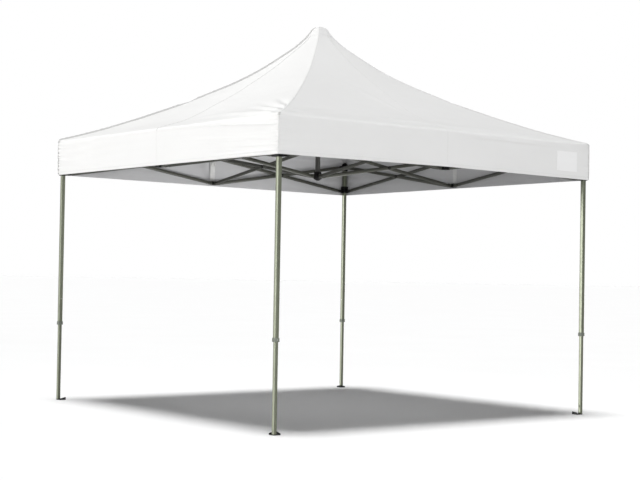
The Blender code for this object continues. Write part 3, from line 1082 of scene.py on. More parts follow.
# %% Model the top bracket
def bracket():
    """The black head of a leg, narrowing upwards in steps, with two forks and two screws."""
    body = leg_block(COLLAR, Z_TOP - 0.030, 2.108)
    choose(body, "FACE", lambda at, normal: normal.z > 0.9)
    for size, move in ((0.94, 0.004), (0.84, 0.0045), (0.70, 0.005), (0.50, 0.0055), (0.25, 0.003)):
        bpy.ops.mesh.extrude_region_move(TRANSFORM_OT_translate={"value": (0, 0, move)})
        bpy.ops.transform.resize(value=(size, size, 1), center_override=(-LEG, -LEG, 0))
    done()
    soften(body, 0.0016, 3, 25)
    pieces = [paint(shade(body, 40), nylon)]
    for way in ("+X", "+Y"):
        pieces += fork(way, 0.0165, LEG_TO_PIVOT, (-LEG, -LEG), OFFSET, Z_TOP, nylon)
    for z in (Z_TOP - 0.018, Z_TOP + 0.014):
        pieces.append(hexagon((-LEG - 0.0185, -LEG, z), (-LEG - 0.0215, -LEG, z), 0.0075))
    return joined(pieces, "bracket")


brackets = around(bracket(), ["top_bracket_" + c for c in CORNERS], OUTER_LEGS)
print("brackets:", len(brackets), "of", len(brackets[0].data.polygons), "faces")

# %% [markdown]
# ### Slider
#
# The slider runs on the outer tube when the frame folds, and is latched near the top when it
# stands open. It is a sleeve with a thicker rim at each end, two forks, and a pull knob on a
# steel pin on its inner side. The sleeve's four faces could be hollowed one by one, but an inset
# that treats each chosen face by itself does it in one go.

# %% Model the slider
SLEEVE = 0.0235          # half the width of the sleeve


def slider_sleeve():
    """The sleeve: hollowed on its four faces and bored for the outer tube."""
    low, high = Z_LOW - 0.016, Z_LOW + 0.044
    body = leg_block(SLEEVE, low, high)
    choose(body, "EDGE", lambda at, way: abs(way.z) > 0.9)
    bpy.ops.mesh.bevel(offset=0.0028, segments=3, affect="EDGES")
    done()
    choose(body, "FACE", lambda at, normal: max(abs(normal.x), abs(normal.y)) > 0.99)
    bpy.ops.mesh.inset(thickness=0.0050, depth=0, use_individual=True)
    bpy.ops.mesh.inset(thickness=0.0004, depth=-0.0012, use_individual=True)
    done()
    drill(body, [leg_block(OUTER + 0.0006, low - 0.02, high + 0.02)])
    soften(body, 0.0007, 2, 40)
    return paint(shade(body, 32), nylon)


def lock_pin():
    """The steel pin that latches the slider, with its pull knob and the boss it runs in."""
    y, z = -LEG + 0.0085, Z_LOW + 0.029
    pin = rod((-LEG + 0.0230, y, z), (-LEG + 0.0345, y, z), 0.0022, 16)
    knob = rod((-LEG + 0.0307, y, z), (-LEG + 0.0425, y, z), 0.0058, 28)
    choose(knob, "FACE", lambda at, normal: normal.x > 0.9)
    bpy.ops.mesh.bevel(offset=0.0022, segments=4, affect="EDGES")
    done()
    boss = rod((-LEG + 0.0220, y, z), (-LEG + 0.0267, y, z), 0.0066, 28)
    soften(boss, 0.0006, 2)
    return [paint(shade(pin), zinc), paint(shade(knob, 50), nylon), paint(shade(boss), nylon)]


def slider():
    """A slider: its sleeve, two forks and the pin that latches it."""
    pieces = [slider_sleeve()]
    for way in ("+X", "+Y"):
        pieces += fork(way, 0.0215, LEG_TO_PIVOT, (-LEG, -LEG), -OFFSET, Z_LOW, nylon, 0.0125)
    return joined(pieces + lock_pin(), "slider")


sleeves = around(slider(), ["sleeve_" + c for c in CORNERS], ["slider_" + c for c in CORNERS],
                 replacing=True)
print("sliders:", len(sleeves), "of", len(sleeves[0].data.polygons), "faces")

# %% [markdown]
# ### Inner tube
#
# The inner tube slides in the outer one and carries an oval hole near its foot, seen on the right
# leg in the photograph. An oval drill could be modelled for it, but two round holes and the block
# between them make the same hole from pieces that are at hand.

# %% Model the inner tube
def inner_tube():
    """The inner tube with its slot: two round holes and the block between them."""
    tube = square_tube(INNER, 0.0045, 0.98, 0.0014, 0.0026)
    slot = [rod((-LEG, -LEG + 0.006, z), (-LEG, -LEG + 0.018, z), 0.0045, 24)
            for z in (0.060, 0.070)]
    slot.append(block((-LEG - 0.0045, -LEG + 0.006, 0.060), (-LEG + 0.0045, -LEG + 0.018, 0.070)))
    for piece in slot:
        drill(tube, [piece])
    return paint(shade(tube, 30), leg_paint)


inner_tubes = around(inner_tube(), ["tube_inner_" + c for c in CORNERS], INNER_LEGS, replacing=True)
print("inner tubes:", len(inner_tubes), "of", len(inner_tubes[0].data.polygons), "faces")

# %% [markdown]
# ### Foot plate
#
# Each leg stands on a square steel plate that reaches towards the inside of the tent. The plate's
# two inner edges are turned up, highest where they meet, and a hole takes a ground stake. The
# turned edges could be extruded from the plate, but their height falls off along them. So each is
# a thin block with its low end pulled down and rounded, and the second one is mirrored. A weld
# runs round the foot of the tube.

# %% Model the foot plate
FOOT = 0.058             # width of the foot plate
FOOT_THICK = 0.005


def foot_plate():
    """The plate with its stake hole, two turned-up edges and the weld around the tube."""
    x0 = -LEG - INNER
    x1 = x0 + FOOT
    plate = block((x0, x0, 0), (x1, x1, FOOT_THICK))
    choose(plate, "EDGE", lambda at, way: abs(way.z) > 0.9)
    bpy.ops.mesh.bevel(offset=0.004, segments=4, affect="EDGES")
    done()
    stake = x0 + 0.041
    drill(plate, [rod((stake, stake, -0.01), (stake, stake, 0.02), 0.0055, 28)])
    soften(plate, 0.0008, 2, 40)
    pieces = [plate]
    for turn in (0, 1):
        lip = block((x1 - 0.0038, x0 + 0.0015, 0.003), (x1 - 0.0002, x1 - 0.0002, 0.0238))
        choose(lip, "VERT", lambda at, normal: at.z > 0.023 and at.y < x0 + 0.01)
        bpy.ops.transform.translate(value=(0, 0, -0.0120))
        done()
        choose(lip, "EDGE", lambda at, way: at.z > 0.008 and abs(way.x) > 0.9 and at.y < x0 + 0.01)
        bpy.ops.mesh.bevel(offset=0.005, segments=4, affect="EDGES")
        done()
        soften(lip, 0.0008, 2, 40)
        if turn:
            lip.data.transform(Matrix(((0, 1, 0, 0), (1, 0, 0, 0), (0, 0, 1, 0), (0, 0, 0, 1))))
            lip.data.flip_normals()
        pieces.append(lip)
    weld = leg_block(0.0142, 0.0045, 0.0075)
    choose(weld, "FACE", lambda at, normal: normal.z > 0.9)
    bpy.ops.transform.resize(value=(0.885, 0.885, 1), center_override=(-LEG, -LEG, 0))
    done()
    soften(weld, 0.0009, 2, 30)
    pieces.append(weld)
    for piece in pieces:
        paint(shade(piece, 35), foot_paint)
    return joined(pieces, "foot plate")


feet = around(foot_plate(), ["foot_" + c for c in CORNERS], INNER_LEGS)
print("feet:", len(feet), "of", len(feet[0].data.polygons), "faces")

# %% [markdown]
# ## The canopy's shape
#
# The roof is one cloth pulled over the centre pole and the four leg tops. Between those points it
# hangs in a hollow curve, steep near the peak and flat at the eaves, and it rolls over the eaves
# into the valance without an edge. Towards the peak each face stands out from flat, with its
# middle seam furthest out. A cloth simulation would find a shape like it, but the seams would
# drift, and separate panels have to meet to the millimetre. So a function holds the shape: for a
# place on the front side, x along the eave and s the distance at which its level line meets the
# ridge, it gives a height. Each face is made as the front one and then turned to its side.

# %% The roof's profile
PROFILE = [(0.0, 3.0655), (0.012, 3.064), (0.027, 3.056), (0.040, 3.040), (0.057, 3.006),
           (0.09, 2.955), (0.14, 2.895), (0.20, 2.837), (0.27, 2.773), (0.34, 2.712),
           (0.42, 2.652), (0.51, 2.592), (0.59, 2.545), (0.67, 2.499), (0.75, 2.455),
           (0.84, 2.409), (0.93, 2.366), (1.03, 2.319), (1.13, 2.275), (1.23, 2.233),
           (1.33, 2.195), (1.43, 2.160), (CLOTH, Z_EAVE)]
ROLL = 0.025             # radius of the rolled eave
LAST_DROP = 0.030        # the roof drops this much over the last run above the eave
LAST_RUN = 0.095
SLOPE = math.atan2(LAST_DROP, LAST_RUN)
ROLL_S = CLOTH - ROLL + ROLL * math.sin(SLOPE)
ROLL_Z = Z_EAVE + LAST_DROP * (CLOTH - ROLL_S) / LAST_RUN - ROLL * math.cos(SLOPE)


def curve_through(points, at):
    """A smooth curve through (distance, height) points, without overshoot.

    Its slope at a point is the harmonic mean of the slopes on both sides."""
    x, y = np.array(points, float).T
    d = np.diff(y) / np.diff(x)
    m = np.concatenate([[d[0]], 2 * d[:-1] * d[1:] / (d[:-1] + d[1:] - 1e-12), [d[-1]]])
    i = np.clip(np.searchsorted(x, at, "right") - 1, 0, len(x) - 2)
    h = x[i + 1] - x[i]
    t = (at - x[i]) / h
    return ((2 * t**3 - 3 * t**2 + 1) * y[i] + (t**3 - 2 * t**2 + t) * h * m[i]
            + (3 * t**2 - 2 * t**3) * y[i + 1] + (t**3 - t**2) * h * m[i + 1])


def roof_line(t):
    """Points down the roof: t is metres along s until the roll, then metres round the roll."""
    t = np.asarray(t, float)
    flat = np.minimum(t, ROLL_S)
    s, z = flat.copy(), curve_through(PROFILE, flat)
    bent = np.maximum(t - ROLL_S, 0) / ROLL
    angle = math.pi / 2 - SLOPE - bent
    on = bent > 0
    s = np.where(on, CLOTH - ROLL + ROLL * np.cos(angle), s)
    z = np.where(on, ROLL_Z + ROLL * np.sin(angle), z)
    return s, z


ROUND = 1.35             # the faces are rounded up to this distance from the middle


def stand_out(x, s):
    """How far a face stands out from flat at x, on the level line that meets the ridge at s."""
    share = np.minimum(np.abs(x) / np.maximum(s, 1e-6), 1)
    most = (math.sqrt(2) - 1) * s * np.clip(1 - s / ROUND, 0, 1) ** 1.8
    return most * (0.75 * (1 - share) + 0.25 * (1 - share ** 2))


ROLL_LENGTH = ROLL * (math.pi / 2 - SLOPE)
print("the roll starts %.3f m out and is %.1f mm long" % (ROLL_S, ROLL_LENGTH * 1000))

# %% [markdown]
# ### Folds and wrinkles
#
# A cloth that is pulled over a frame is never smooth. A Displace modifier with noise would make it
# uneven, but without a direction, and real folds run along the pull. So three kinds of unevenness
# are made, each as a function of the place on a side. The first is an even unrest, a sum of a few
# sine waves that run in different directions. The second is a fan of shallow folds at each
# corner, where the cloth hangs on the leg tops. The third is a single fold, a soft ridge or
# groove along a line of points.

# %% Three kinds of unevenness
def ripple(x, y, seed, waves=5):
    """A smooth repeatable unevenness between about -1 and 1."""
    total = 0
    for i in range(waves):
        a = seed * 1.7 + i * 2.399
        f = 1.0 + 0.62 * i
        total = total + np.sin(f * (x * math.cos(a) + y * math.sin(a)) + a * 3.1) / (1 + 0.35 * i)
    return total / 2.6


def corner_folds(dx, dy, seed, strength):
    """Folds that fan out from a corner; dx and dy are the distances from it."""
    r = np.hypot(dx, dy)
    angle = np.arctan2(dy, dx + 1e-9)
    wave = np.sin(angle * 21 + 1.9 * np.sin(r * 2.3 + seed) + seed)
    wave = np.sign(wave) * np.abs(wave) ** 0.8
    grow = np.clip(r / 0.20, 0, 1) ** 1.5 * np.exp(-r / 0.42)
    return strength * 0.0085 * wave * grow


def crease(a, b, points, high, wide):
    """A soft ridge, or a groove if high is negative, along a line of points; it fades at its ends."""
    nearest = np.full(np.broadcast(a, b).shape, 9.0)
    share = np.zeros(nearest.shape)
    for i, ((a0, b0), (a1, b1)) in enumerate(zip(points, points[1:])):
        da, db = a1 - a0, b1 - b0
        t = np.clip(((a - a0) * da + (b - b0) * db) / (da * da + db * db), 0, 1)
        far = np.hypot(a - a0 - t * da, b - b0 - t * db)
        share = np.where(far < nearest, (i + t) / (len(points) - 1), share)
        nearest = np.minimum(far, nearest)
    fade = np.clip(share / 0.12, 0, 1) * np.clip((1 - share) / 0.45, 0, 1)
    return high * np.exp(-(nearest / wide) ** 2) * fade


unrest = ripple(*np.mgrid[0:8:0.1, 0:8:0.1], 1.0)
print("the unrest runs from %.2f to %.2f" % (unrest.min(), unrest.max()))

# %% [markdown]
# ### The single folds
#
# The photograph shows the strongest folds at the near corner on the left side: the cloth breaks
# over a shoulder above the eave, and grooves and ridges run up the roof from the corner. Below
# the eave, folds run from the corner along the valance, and the hem has a fold of its own. The
# front eave is calm. The folds could be sculpted with a brush, but points can be read off the
# photograph and moved by a millimetre. Each row below holds the points of one fold, its height
# and its width; a negative height is a groove. The roof's points are (x, s), the valance's (x, z).

# %% Where the single folds lie
def fan(corner, angles, start, length, high, wide):
    """Creases that spread from the left (-1) or right (1) corner, one for each angle in degrees.

    They start this far from the corner and reach out to length, or a little less."""
    lines = []
    for i, angle in enumerate(angles):
        c, n = math.cos(math.radians(angle)), math.sin(math.radians(angle))
        far = length * (1 - 0.13 * (i % 3))
        lines.append(([(corner * (CLOTH - start * c), CLOTH - start * n),
                       (corner * (CLOTH - far * c), CLOTH - far * n)], high, wide))
    return lines


DRAPES = [([(-0.34 + 0.05 * i, 0.50 + 0.09 * i), (-0.24 + 0.05 * i, 0.76 + 0.10 * i),
            (-0.14 + 0.04 * i, 1.02 + 0.06 * i)], 0.0020, 0.012) for i in range(4)]
ROOF_CREASES = {
    "left": [([(1.44, 1.470), (1.25, 1.455), (0.90, 1.370), (0.545, 1.285), (0.10, 1.28)],
              0.0130, 0.042),
             ([(1.40, 1.500), (1.00, 1.485), (0.60, 1.470), (0.20, 1.480)], -0.0040, 0.020),
             ([(1.30, 1.255), (1.113, 1.169), (0.80, 1.00)], -0.0080, 0.022),
             ([(1.30, 1.295), (1.245, 1.268), (1.07, 1.18), (0.70, 0.99)], 0.0060, 0.024),
             ([(1.42, 1.390), (1.289, 1.326), (0.961, 1.186), (0.62, 1.04)], -0.0090, 0.022),
             ([(1.40, 1.410), (1.32, 1.372), (0.98, 1.235), (0.66, 1.12)], 0.0050, 0.022),
             ([(1.44, 1.455), (1.347, 1.419), (1.00, 1.285), (0.62, 1.15)], -0.0080, 0.022)],
    "front": [([(-0.50, 1.340), (-0.142, 1.350), (0.326, 1.415), (0.942, 1.455), (1.40, 1.480)],
               0.0095, 0.040)] + DRAPES + fan(-1, (12, 26, 36), 0.04, 0.62, 0.0045, 0.013),
    "right": fan(1, (9, 22, 34), 0.04, 0.45, 0.0050, 0.012),
    "back": fan(-1, (9, 22, 34), 0.04, 0.45, 0.0050, 0.012)}
VALANCE_CREASES = {
    "left": [([(1.52, 2.060), (1.29, 2.074), (0.91, 2.093), (0.55, 2.104), (0.10, 2.110)],
              -0.0055, 0.0075),
             ([(1.52, 2.090), (1.29, 2.096), (0.91, 2.108), (0.50, 2.112)], 0.0050, 0.020),
             ([(1.50, 1.972), (1.00, 1.995), (0.27, 2.026)], 0.0038, 0.012),
             ([(1.50, 1.938), (1.05, 1.955), (0.50, 1.985)], 0.0032, 0.011),
             ([(1.49, 1.905), (1.10, 1.912), (0.70, 1.930)], 0.0030, 0.010),
             ([(1.51, 1.890), (1.20, 1.889), (0.72, 1.887)], 0.0130, 0.0085),
             ([(1.51, 1.873), (1.20, 1.871), (0.72, 1.866)], -0.0080, 0.0085)],
    "front": [([(0.10, 2.098), (0.50, 2.096), (0.90, 2.090), (1.45, 2.092)], -0.0018, 0.010)],
    "right": [([(-1.50, 2.020), (-1.00, 2.040), (-0.40, 2.060)], 0.0025, 0.012)],
    "back": [([(-1.50, 2.010), (-1.00, 2.030), (-0.40, 2.060)], 0.0025, 0.012)]}
print("single folds:", sum(len(rows) for rows in ROOF_CREASES.values()), "on the roof,",
      sum(len(rows) for rows in VALANCE_CREASES.values()), "on the valances")

# %% [markdown]
# ### All folds together
#
# Two functions add up what lies on a roof face and on a valance. The folds die away towards the
# edges, so that neighbouring pieces still meet. Small puckers follow the vertical corner seams,
# strongest at the near corner on the left side. The tables say how strong each side's folds are.

# %% The folds of the roof and of the valances
STRONG = {"front": 0.6, "right": 0.8, "back": 0.7, "left": 0.6}           # the corners' fans
UNREST = {"front": 0.35, "right": 0.9, "back": 0.9, "left": 1.0}          # the valances' unrest
PUCKERS = {"front": 0.8, "right": 0.9, "back": 0.9, "left": 2.4}          # along corner seams


def roof_fold(side, x, s):
    """How far the roof cloth lies off its smooth curve, along its normal."""
    k = SIDES.index(side)
    d = np.zeros(np.broadcast(x, s).shape)
    for sign in (-1, 1):
        d = d + corner_folds(CLOTH - sign * x, CLOTH - s, k * 2.0 + sign, STRONG[side] * 0.8)
    for points, high, wide in ROOF_CREASES[side]:
        d = d + crease(x, s, points, high, wide)
    # a slow unrest over the whole face, and a quicker, weaker one
    d = d + 0.0040 * ripple(x * 2.6, s * 5.2, k + 1.0)
    d = d + 0.0014 * ripple(x * 9.0, s * 17.0, k + 4.0)
    edge = np.clip((s - np.abs(x)) / 0.035, 0, 1)
    eave = np.clip((ROLL_S + 0.020 - s) / 0.040, 0, 1)
    return d * edge * edge * (3 - 2 * edge) * eave * np.clip(s / 0.4, 0, 1)


def valance_fold(side, x, z):
    """How far the valance lies off its plane, outwards."""
    k = SIDES.index(side)
    d = np.zeros(np.broadcast(x, z).shape)
    for sign in (-1, 1):
        far = CLOTH - sign * x
        drift = 0.030 * far + 0.012 * np.sin(far * 5 + k)
        wave = np.sin((z - drift) * 2 * math.pi / 0.066 + k + 0.6 * np.sin(far * 7))
        wave = wave * 0.0014 * UNREST[side]
        d = d + wave * np.exp(-far / 0.55) * np.clip(far / 0.05, 0, 1)
        pucker = np.sin(z * 2 * math.pi / 0.024 + 2.1 * np.sin(z * 40 + k))
        d = d + 0.0016 * PUCKERS[side] * pucker * np.exp(-far / 0.034)
    for points, high, wide in VALANCE_CREASES[side]:
        d = d + crease(x, z, points, high, wide)
    if side == "left":
        # the lower edge curls in beside the near corner
        where = np.clip((x - 0.75) / 0.25, 0, 1) * np.clip((1.50 - x) / 0.08, 0, 1)
        d = d - 0.002 * where * np.clip((1.882 - z) / 0.032, 0, 1) ** 1.5
    d = d + 0.0022 * UNREST[side] * ripple(x * 3.4, z * 6.0, k + 2.0)
    top = np.clip((2.118 - z) / 0.022, 0, 1)
    return (d - 0.0005) * (0.15 + 0.85 * top)


places = np.meshgrid(np.linspace(-1.5, 1.5, 121), np.linspace(0.3, 1.5, 97))
for side in SIDES:
    lies = roof_fold(side, *places) * 1000
    print("%s face: folds from %.0f to %.0f mm" % (side, lies.min(), lies.max()))

# %% [markdown] ### A sheet of cloth A grid primitive gives the mesh its quads, the functions
# above move its vertices, closer together towards the corners, and Solidify makes the cloth 1.4
# mm thick and gives its inside the greyer coating, whose grey is partly painted shade. Fewer
# quads under a Subdivision Surface modifier would round the folds away.

# %% Make and thicken a sheet
CLOTH_THICK = 0.0014


def grid_sheet(name, columns, rows, shape, uv):
    """A grid whose (u, v) from 0 to 1 is moved to shape(u, v), with a UV map in metres."""
    bpy.ops.object.select_all(action="DESELECT")
    bpy.ops.mesh.primitive_grid_add(x_subdivisions=columns, y_subdivisions=rows, size=2)
    sheet = bpy.context.active_object
    sheet.name = name
    mesh = sheet.data
    co = np.zeros(len(mesh.vertices) * 3)
    mesh.vertices.foreach_get("co", co)
    co = co.reshape(-1, 3)
    u, v = (co[:, 0] + 1) / 2, (co[:, 1] + 1) / 2
    mesh.vertices.foreach_set("co", np.stack(shape(u, v), axis=1).ravel())
    index = np.zeros(len(mesh.loops), np.int32)
    mesh.loops.foreach_get("vertex_index", index)
    a, b = uv(u, v)
    layer = mesh.uv_layers.active or mesh.uv_layers.new(name="UVMap")
    layer.uv.foreach_set("vector", np.stack([a[index], b[index]], axis=1).ravel())
    mesh.update()
    return sheet


def to_corners(u):
    """Spreads 0 to 1 so that the steps are smaller near both ends."""
    return u - 0.09 * np.sin(2 * math.pi * u)


def thicken(sheet, thickness):
    """Gives a cloth its thickness: white outside, the grey coating inside, partly painted shade."""
    paint(sheet, cloth_white)
    sheet.data.materials.append(inner_coating_painted_shade)
    modify(sheet, "SOLIDIFY", thickness=thickness, offset=-1, material_offset=1)
    return shade(sheet, 60)


def merge_and_face(sheet, outward):
    """Merges doubled points and turns the sheet so that its faces point outward."""
    choose(sheet, "VERT", lambda at, normal: True)
    bpy.ops.mesh.remove_doubles(threshold=0.00002)
    done()
    total = Vector((0, 0, 0))
    for face in sheet.data.polygons:
        total += face.normal * face.area
    if total.dot(Vector(outward)) < 0:
        sheet.data.flip_normals()
    return sheet


def gather_in(sheet):
    """Gives a sheet a mesh of its own."""
    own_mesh(sheet)


# %% [markdown]
# ### Roof panels
#
# Each face of the roof is two panels, an upper and a lower one, because the cloth bends halfway
# down when the frame folds. One sheet could be bent with bones, but here a piece rides on one
# stiff body. At rest the two share their edge and their folds and read as one sheet. Their rows
# lie closer together near the peak and the eave, where the roof curves most.

# %% Model a roof panel
def roof_point(side, x, t, lift=0.0):
    """A point of the front-facing roof: x along the eave, t down the slope."""
    s, z = roof_line(t)
    fold = roof_fold(side, x, s) + lift
    s2, z2 = roof_line(np.asarray(t) + 0.002)
    ds, dz = s2 - s, z2 - z
    size = np.hypot(ds, dz)
    return x, -(s + stand_out(x, s) - fold * dz / size), z + fold * ds / size


ROOF_RUN = ROLL_S + ROLL_LENGTH      # from the peak to the end of the roll
BREAK = 0.75                         # where the upper roof panel meets the lower one
SLANT = 1.18                         # metres of cloth for each metre out from the middle
UPPER_ROWS = np.concatenate([np.linspace(0, 0.09, 15)[:-1], np.linspace(0.09, BREAK, 52)])
LOWER_ROWS = np.concatenate([np.linspace(BREAK, 1.20, 34)[:-1], np.linspace(1.20, ROLL_S, 46)[:-1],
                             np.linspace(ROLL_S, ROOF_RUN, 9)])


def roof_panel(side, which):
    """The upper or the lower panel of a side's roof face, as a front one."""
    rows = UPPER_ROWS if which == "upper" else LOWER_ROWS
    columns = 100 if which == "upper" else 230
    n = len(rows) - 1

    def shape(u, v):
        t = np.interp(v * n, np.arange(n + 1), rows)
        s, _ = roof_line(t)
        return roof_point(side, (2 * to_corners(u) - 1) * s, t)

    def uv(u, v):
        t = np.interp(v * n, np.arange(n + 1), rows)
        return (2 * to_corners(u) - 1) * t, t * SLANT

    sheet = grid_sheet("roof_%s_%s_cloth" % (side, which), columns, n, shape, uv)
    merge_and_face(sheet, (0, -0.3, 1))
    return thicken(sheet, CLOTH_THICK)


print("rows of quads: %d in an upper panel, %d in a lower one"
      % (len(UPPER_ROWS) - 1, len(LOWER_ROWS) - 1))

# %% [markdown]
# ### Middle seams
#
# Each face and valance has a seam down its middle, a narrow tape that follows the cloth and is
# slightly puckered. A line in the material would stay flat, and a real seam catches the light. So
# the tape is a thin strip made with the same functions as the cloth, and joined to it, so that
# the two ride on the same body.

# %% Model a tape
def tape(side, width, rows, surface, crown, pitch=0.036):
    """A puckered strip down the middle of a side; surface gives the cloth's points."""
    n = len(rows) - 1

    def shape(u, v):
        t = np.interp(v * n, np.arange(n + 1), rows)
        pucker = 0.60 + 0.40 * np.sin(t * 2 * math.pi / pitch)
        rise = 0.0002 + crown * pucker * (1 - (2 * u - 1) ** 2)
        return surface(side, (u - 0.5) * width, t, rise)

    def uv(u, v):
        t = np.interp(v * n, np.arange(n + 1), rows)
        return t, (u - 0.5) * width

    strip = grid_sheet("tape", 6, n, shape, uv)
    merge_and_face(strip, (0, -0.3, 1))
    modify(strip, "SOLIDIFY", thickness=0.0007, offset=-1)
    return paint(shade(strip, 60), tape_white)


print("helper made: tape")

# %% [markdown]
# ### Fins
#
# Along the four ridges and down the four corners the two cloths are sewn together with their
# edges standing up, as a soft fin. It stands highest on the far left ridge, where the photograph
# shows it against the background, and lies almost flat on the near one. A bevelled curve could
# follow the ridge, but it would look like a wire, and a strip with an uneven crest looks sewn. Each
# side carries the fin of its right-hand edge, and at its end a small tab, grey on the near corner.

# %% Model a fin
def fin(rows, surface, high, wide, finish, name="fin"):
    """The standing seam on the right-hand edge; surface gives a point and its way out there."""
    n = len(rows) - 1

    def shape(u, v):
        t = np.interp(v * n, np.arange(n + 1), rows)
        point, out = surface(t)
        grow = np.minimum(1, 0.35 + 14 * np.minimum(v, 1 - v) * (rows[-1] - rows[0]))
        across = 2 * u - 1
        rise = -0.0010 + high * grow * (1 - np.abs(across) ** 1.3)
        rise = rise * (1 + 0.07 * np.sin(t * 2 * math.pi / 0.030))
        lean = across * wide / 2 + 0.0007 * np.sin(t * 2 * math.pi / 0.041 + 1) * (1 - across ** 2)
        lean = lean * math.sqrt(0.5)
        return (point[0] + out[0] * rise + lean, point[1] + out[1] * rise + lean,
                point[2] + out[2] * rise)

    def uv(u, v):
        t = np.interp(v * n, np.arange(n + 1), rows)
        return t, (u - 0.5) * wide

    strip = grid_sheet(name, 8, n, shape, uv)
    merge_and_face(strip, (1, -1, 1))
    modify(strip, "SOLIDIFY", thickness=0.0008, offset=-1)
    return paint(shade(strip, 60), finish)


def on_ridge(t):
    """A point of the ridge and the direction square to it, both on the right-hand edge."""
    s, z = roof_line(t)
    s2, z2 = roof_line(t + 0.002)
    ds, dz = s2 - s, z2 - z
    size = np.sqrt(2 * dz * dz + 4 * ds * ds)
    return (s, -s, z), (-dz / size, dz / size, 2 * ds / size)


print("helpers made: fin, on_ridge")


# %% Model the roof's seams
# height and width of the fin on each side's right-hand ridge
RIDGE_FIN = {"front": (0.0060, 0.0150), "right": (0.0100, 0.0140), "back": (0.0155, 0.0125),
             "left": (0.0018, 0.0150)}


def roof_seams(side, which):
    """A panel's middle tape and ridge fin, and the tab of a lower panel."""
    rows = UPPER_ROWS if which == "upper" else LOWER_ROWS
    start = 0.022 if which == "upper" else rows[0]
    fine = np.concatenate([[start], rows[rows > start + 0.002]])
    high, wide = RIDGE_FIN[side]
    # painted shade: the left and back middle tapes and the back ridge fin are grey for the shade along
    # them
    grey = side in ("left", "back")
    seam = tape(side, 0.010 if grey else 0.012, fine, roof_point, 0.0022 if grey else 0.0012)
    paint(seam, seam_tape_painted_shade if grey else tape_white)
    strips = [seam, fin(fine, on_ridge, high, wide, seam_tape_painted_shade if side == "back" else tape_white)]
    if which == "lower":
        finish = tab_grey if side == "left" else tape_white
        strips.append(fin(np.linspace(ROLL_S - 0.002, ROOF_RUN - 0.004, 12), on_ridge,
                          0.0120, 0.0180, finish, "tab"))
    return strips


heights = [high * 1000 for high, wide in RIDGE_FIN.values()]
print("ridge fins from %.1f to %.1f mm high" % (min(heights), max(heights)))

# %% [markdown]
# ### Corner patches
#
# Over each leg top the cloth is doubled with a triangle, where the bracket would wear it through.
# A flat triangle would cut into the folds there. This one is a small grid on the roof's own
# function, lifted by less than a millimetre, so it takes on every fold below it.

# %% Model a corner patch
def corner_patch(side, sign):
    """The doubled cloth over the leg top: a triangle between the ridge and the eave."""
    first, last = 1.425, ROOF_RUN - 0.012

    def shape(u, v):
        t = first + v * (last - first)
        s, _ = roof_line(t)
        reach = 0.012 + 0.125 * v
        return roof_point(side, sign * (s - 0.0005 - (1 - u) * reach), t, 0.0007)

    def uv(u, v):
        return v * 0.14, (u - 0.5) * 0.04

    patch = grid_sheet("patch", 14, 18, shape, uv)
    merge_and_face(patch, (0, -0.3, 1))
    modify(patch, "SOLIDIFY", thickness=0.0006, offset=-1)
    return paint(shade(patch, 60), cloth_white)


print("helper made: corner_patch")

# %% [markdown] ### Put the roof together  A panel, its seams and its corner patches are joined
# into one piece, turned to their side and laid on their body.

# %% Make and place the roof
# wide and deep when laid flat, the area, and the piece that the panel rests on
PANELS = {"upper": ((1.50, 0.958), 0.73, "pole_centre"),
          "lower": ((3.05, 0.86), 1.94, "top_bracket_front_left")}

for k, side in enumerate(SIDES):
    for which, (flat, area, support) in PANELS.items():
        node = "roof_%s_%s" % (side, which)
        pieces = [roof_panel(side, which)] + roof_seams(side, which)
        if which == "lower":
            pieces += [corner_patch(side, sign) for sign in (-1, 1)]
        sheet = joined(pieces, "cloth_" + node)
        sheet.data.transform(quarter(k))
        stand_for(sheet, node, node)
        gather_in(sheet)
        print(sheet.name, "has", len(sheet.data.polygons), "faces")

# %% [markdown]
# ### Peak patch
#
# Over the pole's head the cloth is doubled with a small round patch. It rides with the pole, so
# it stays on the head when the frame folds. A Shrinkwrap modifier could press a disc onto the
# roof, but four faces meet there and leave it no even ground. So four equal parts are made with
# the roof's own function, turned, and merged along their edges.

# %% Model the peak patch
def peak_patch():
    """A round doubled patch over the pole's head, in four parts merged into one sheet."""
    reach = 0.068            # metres from the peak to the patch's edge

    def shape(u, v):
        s, _ = roof_line(v * reach)
        return roof_point("front", (2 * u - 1) * s, v * reach, 0.0016)

    parts = []
    for k in range(4):
        part = grid_sheet("patch", 24, 22, shape, lambda u, v: ((2 * u - 1) * v * reach, v * reach))
        part.data.transform(quarter(k))
        parts.append(part)
    patch = merge_and_face(joined(parts, "peak_patch"), (0, 0, 1))
    modify(patch, "SOLIDIFY", thickness=0.0012, offset=-1)
    return paint(shade(patch, 60), cloth_white)


patch = peak_patch()
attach(patch, "hub_and_pole")
print("peak patch of", len(patch.data.polygons), "faces")

# %% [markdown]
# ### Valances
#
# The valance is the straight skirt below the eave. It is doubled into a hem along its lower edge,
# and the four meet in vertical corner seams that stand out as fins. Its top edge tucks in behind
# the rolled eave. As in the photograph, its edge hangs three centimetres lower at the back right
# corner and one centimetre higher at the near corner. It could be extruded downwards from the
# roof's edge, but it stays upright while the roof tilts, so it is a piece of its own.

# %% The valance's surface
VALANCE_TOP = ROLL_Z + 0.006
VALANCE_DEEP = VALANCE_TOP - Z_VALANCE
# how much lower than Z_VALANCE each side's edge hangs at its left end, middle and right end
LOWER_BY = {"front": (-0.010, -0.014, 0.004), "right": (0.004, 0.017, 0.030),
            "back": (0.030, 0.016, 0.002), "left": (0.002, -0.005, -0.010)}
print("the valance is %.3f m deep" % VALANCE_DEEP)


def extra_length(side, x):
    """How much lower the edge hangs at x: the amounts at its ends and its middle, blended."""
    return np.interp(x, (-CLOTH, 0, CLOTH), LOWER_BY[side])


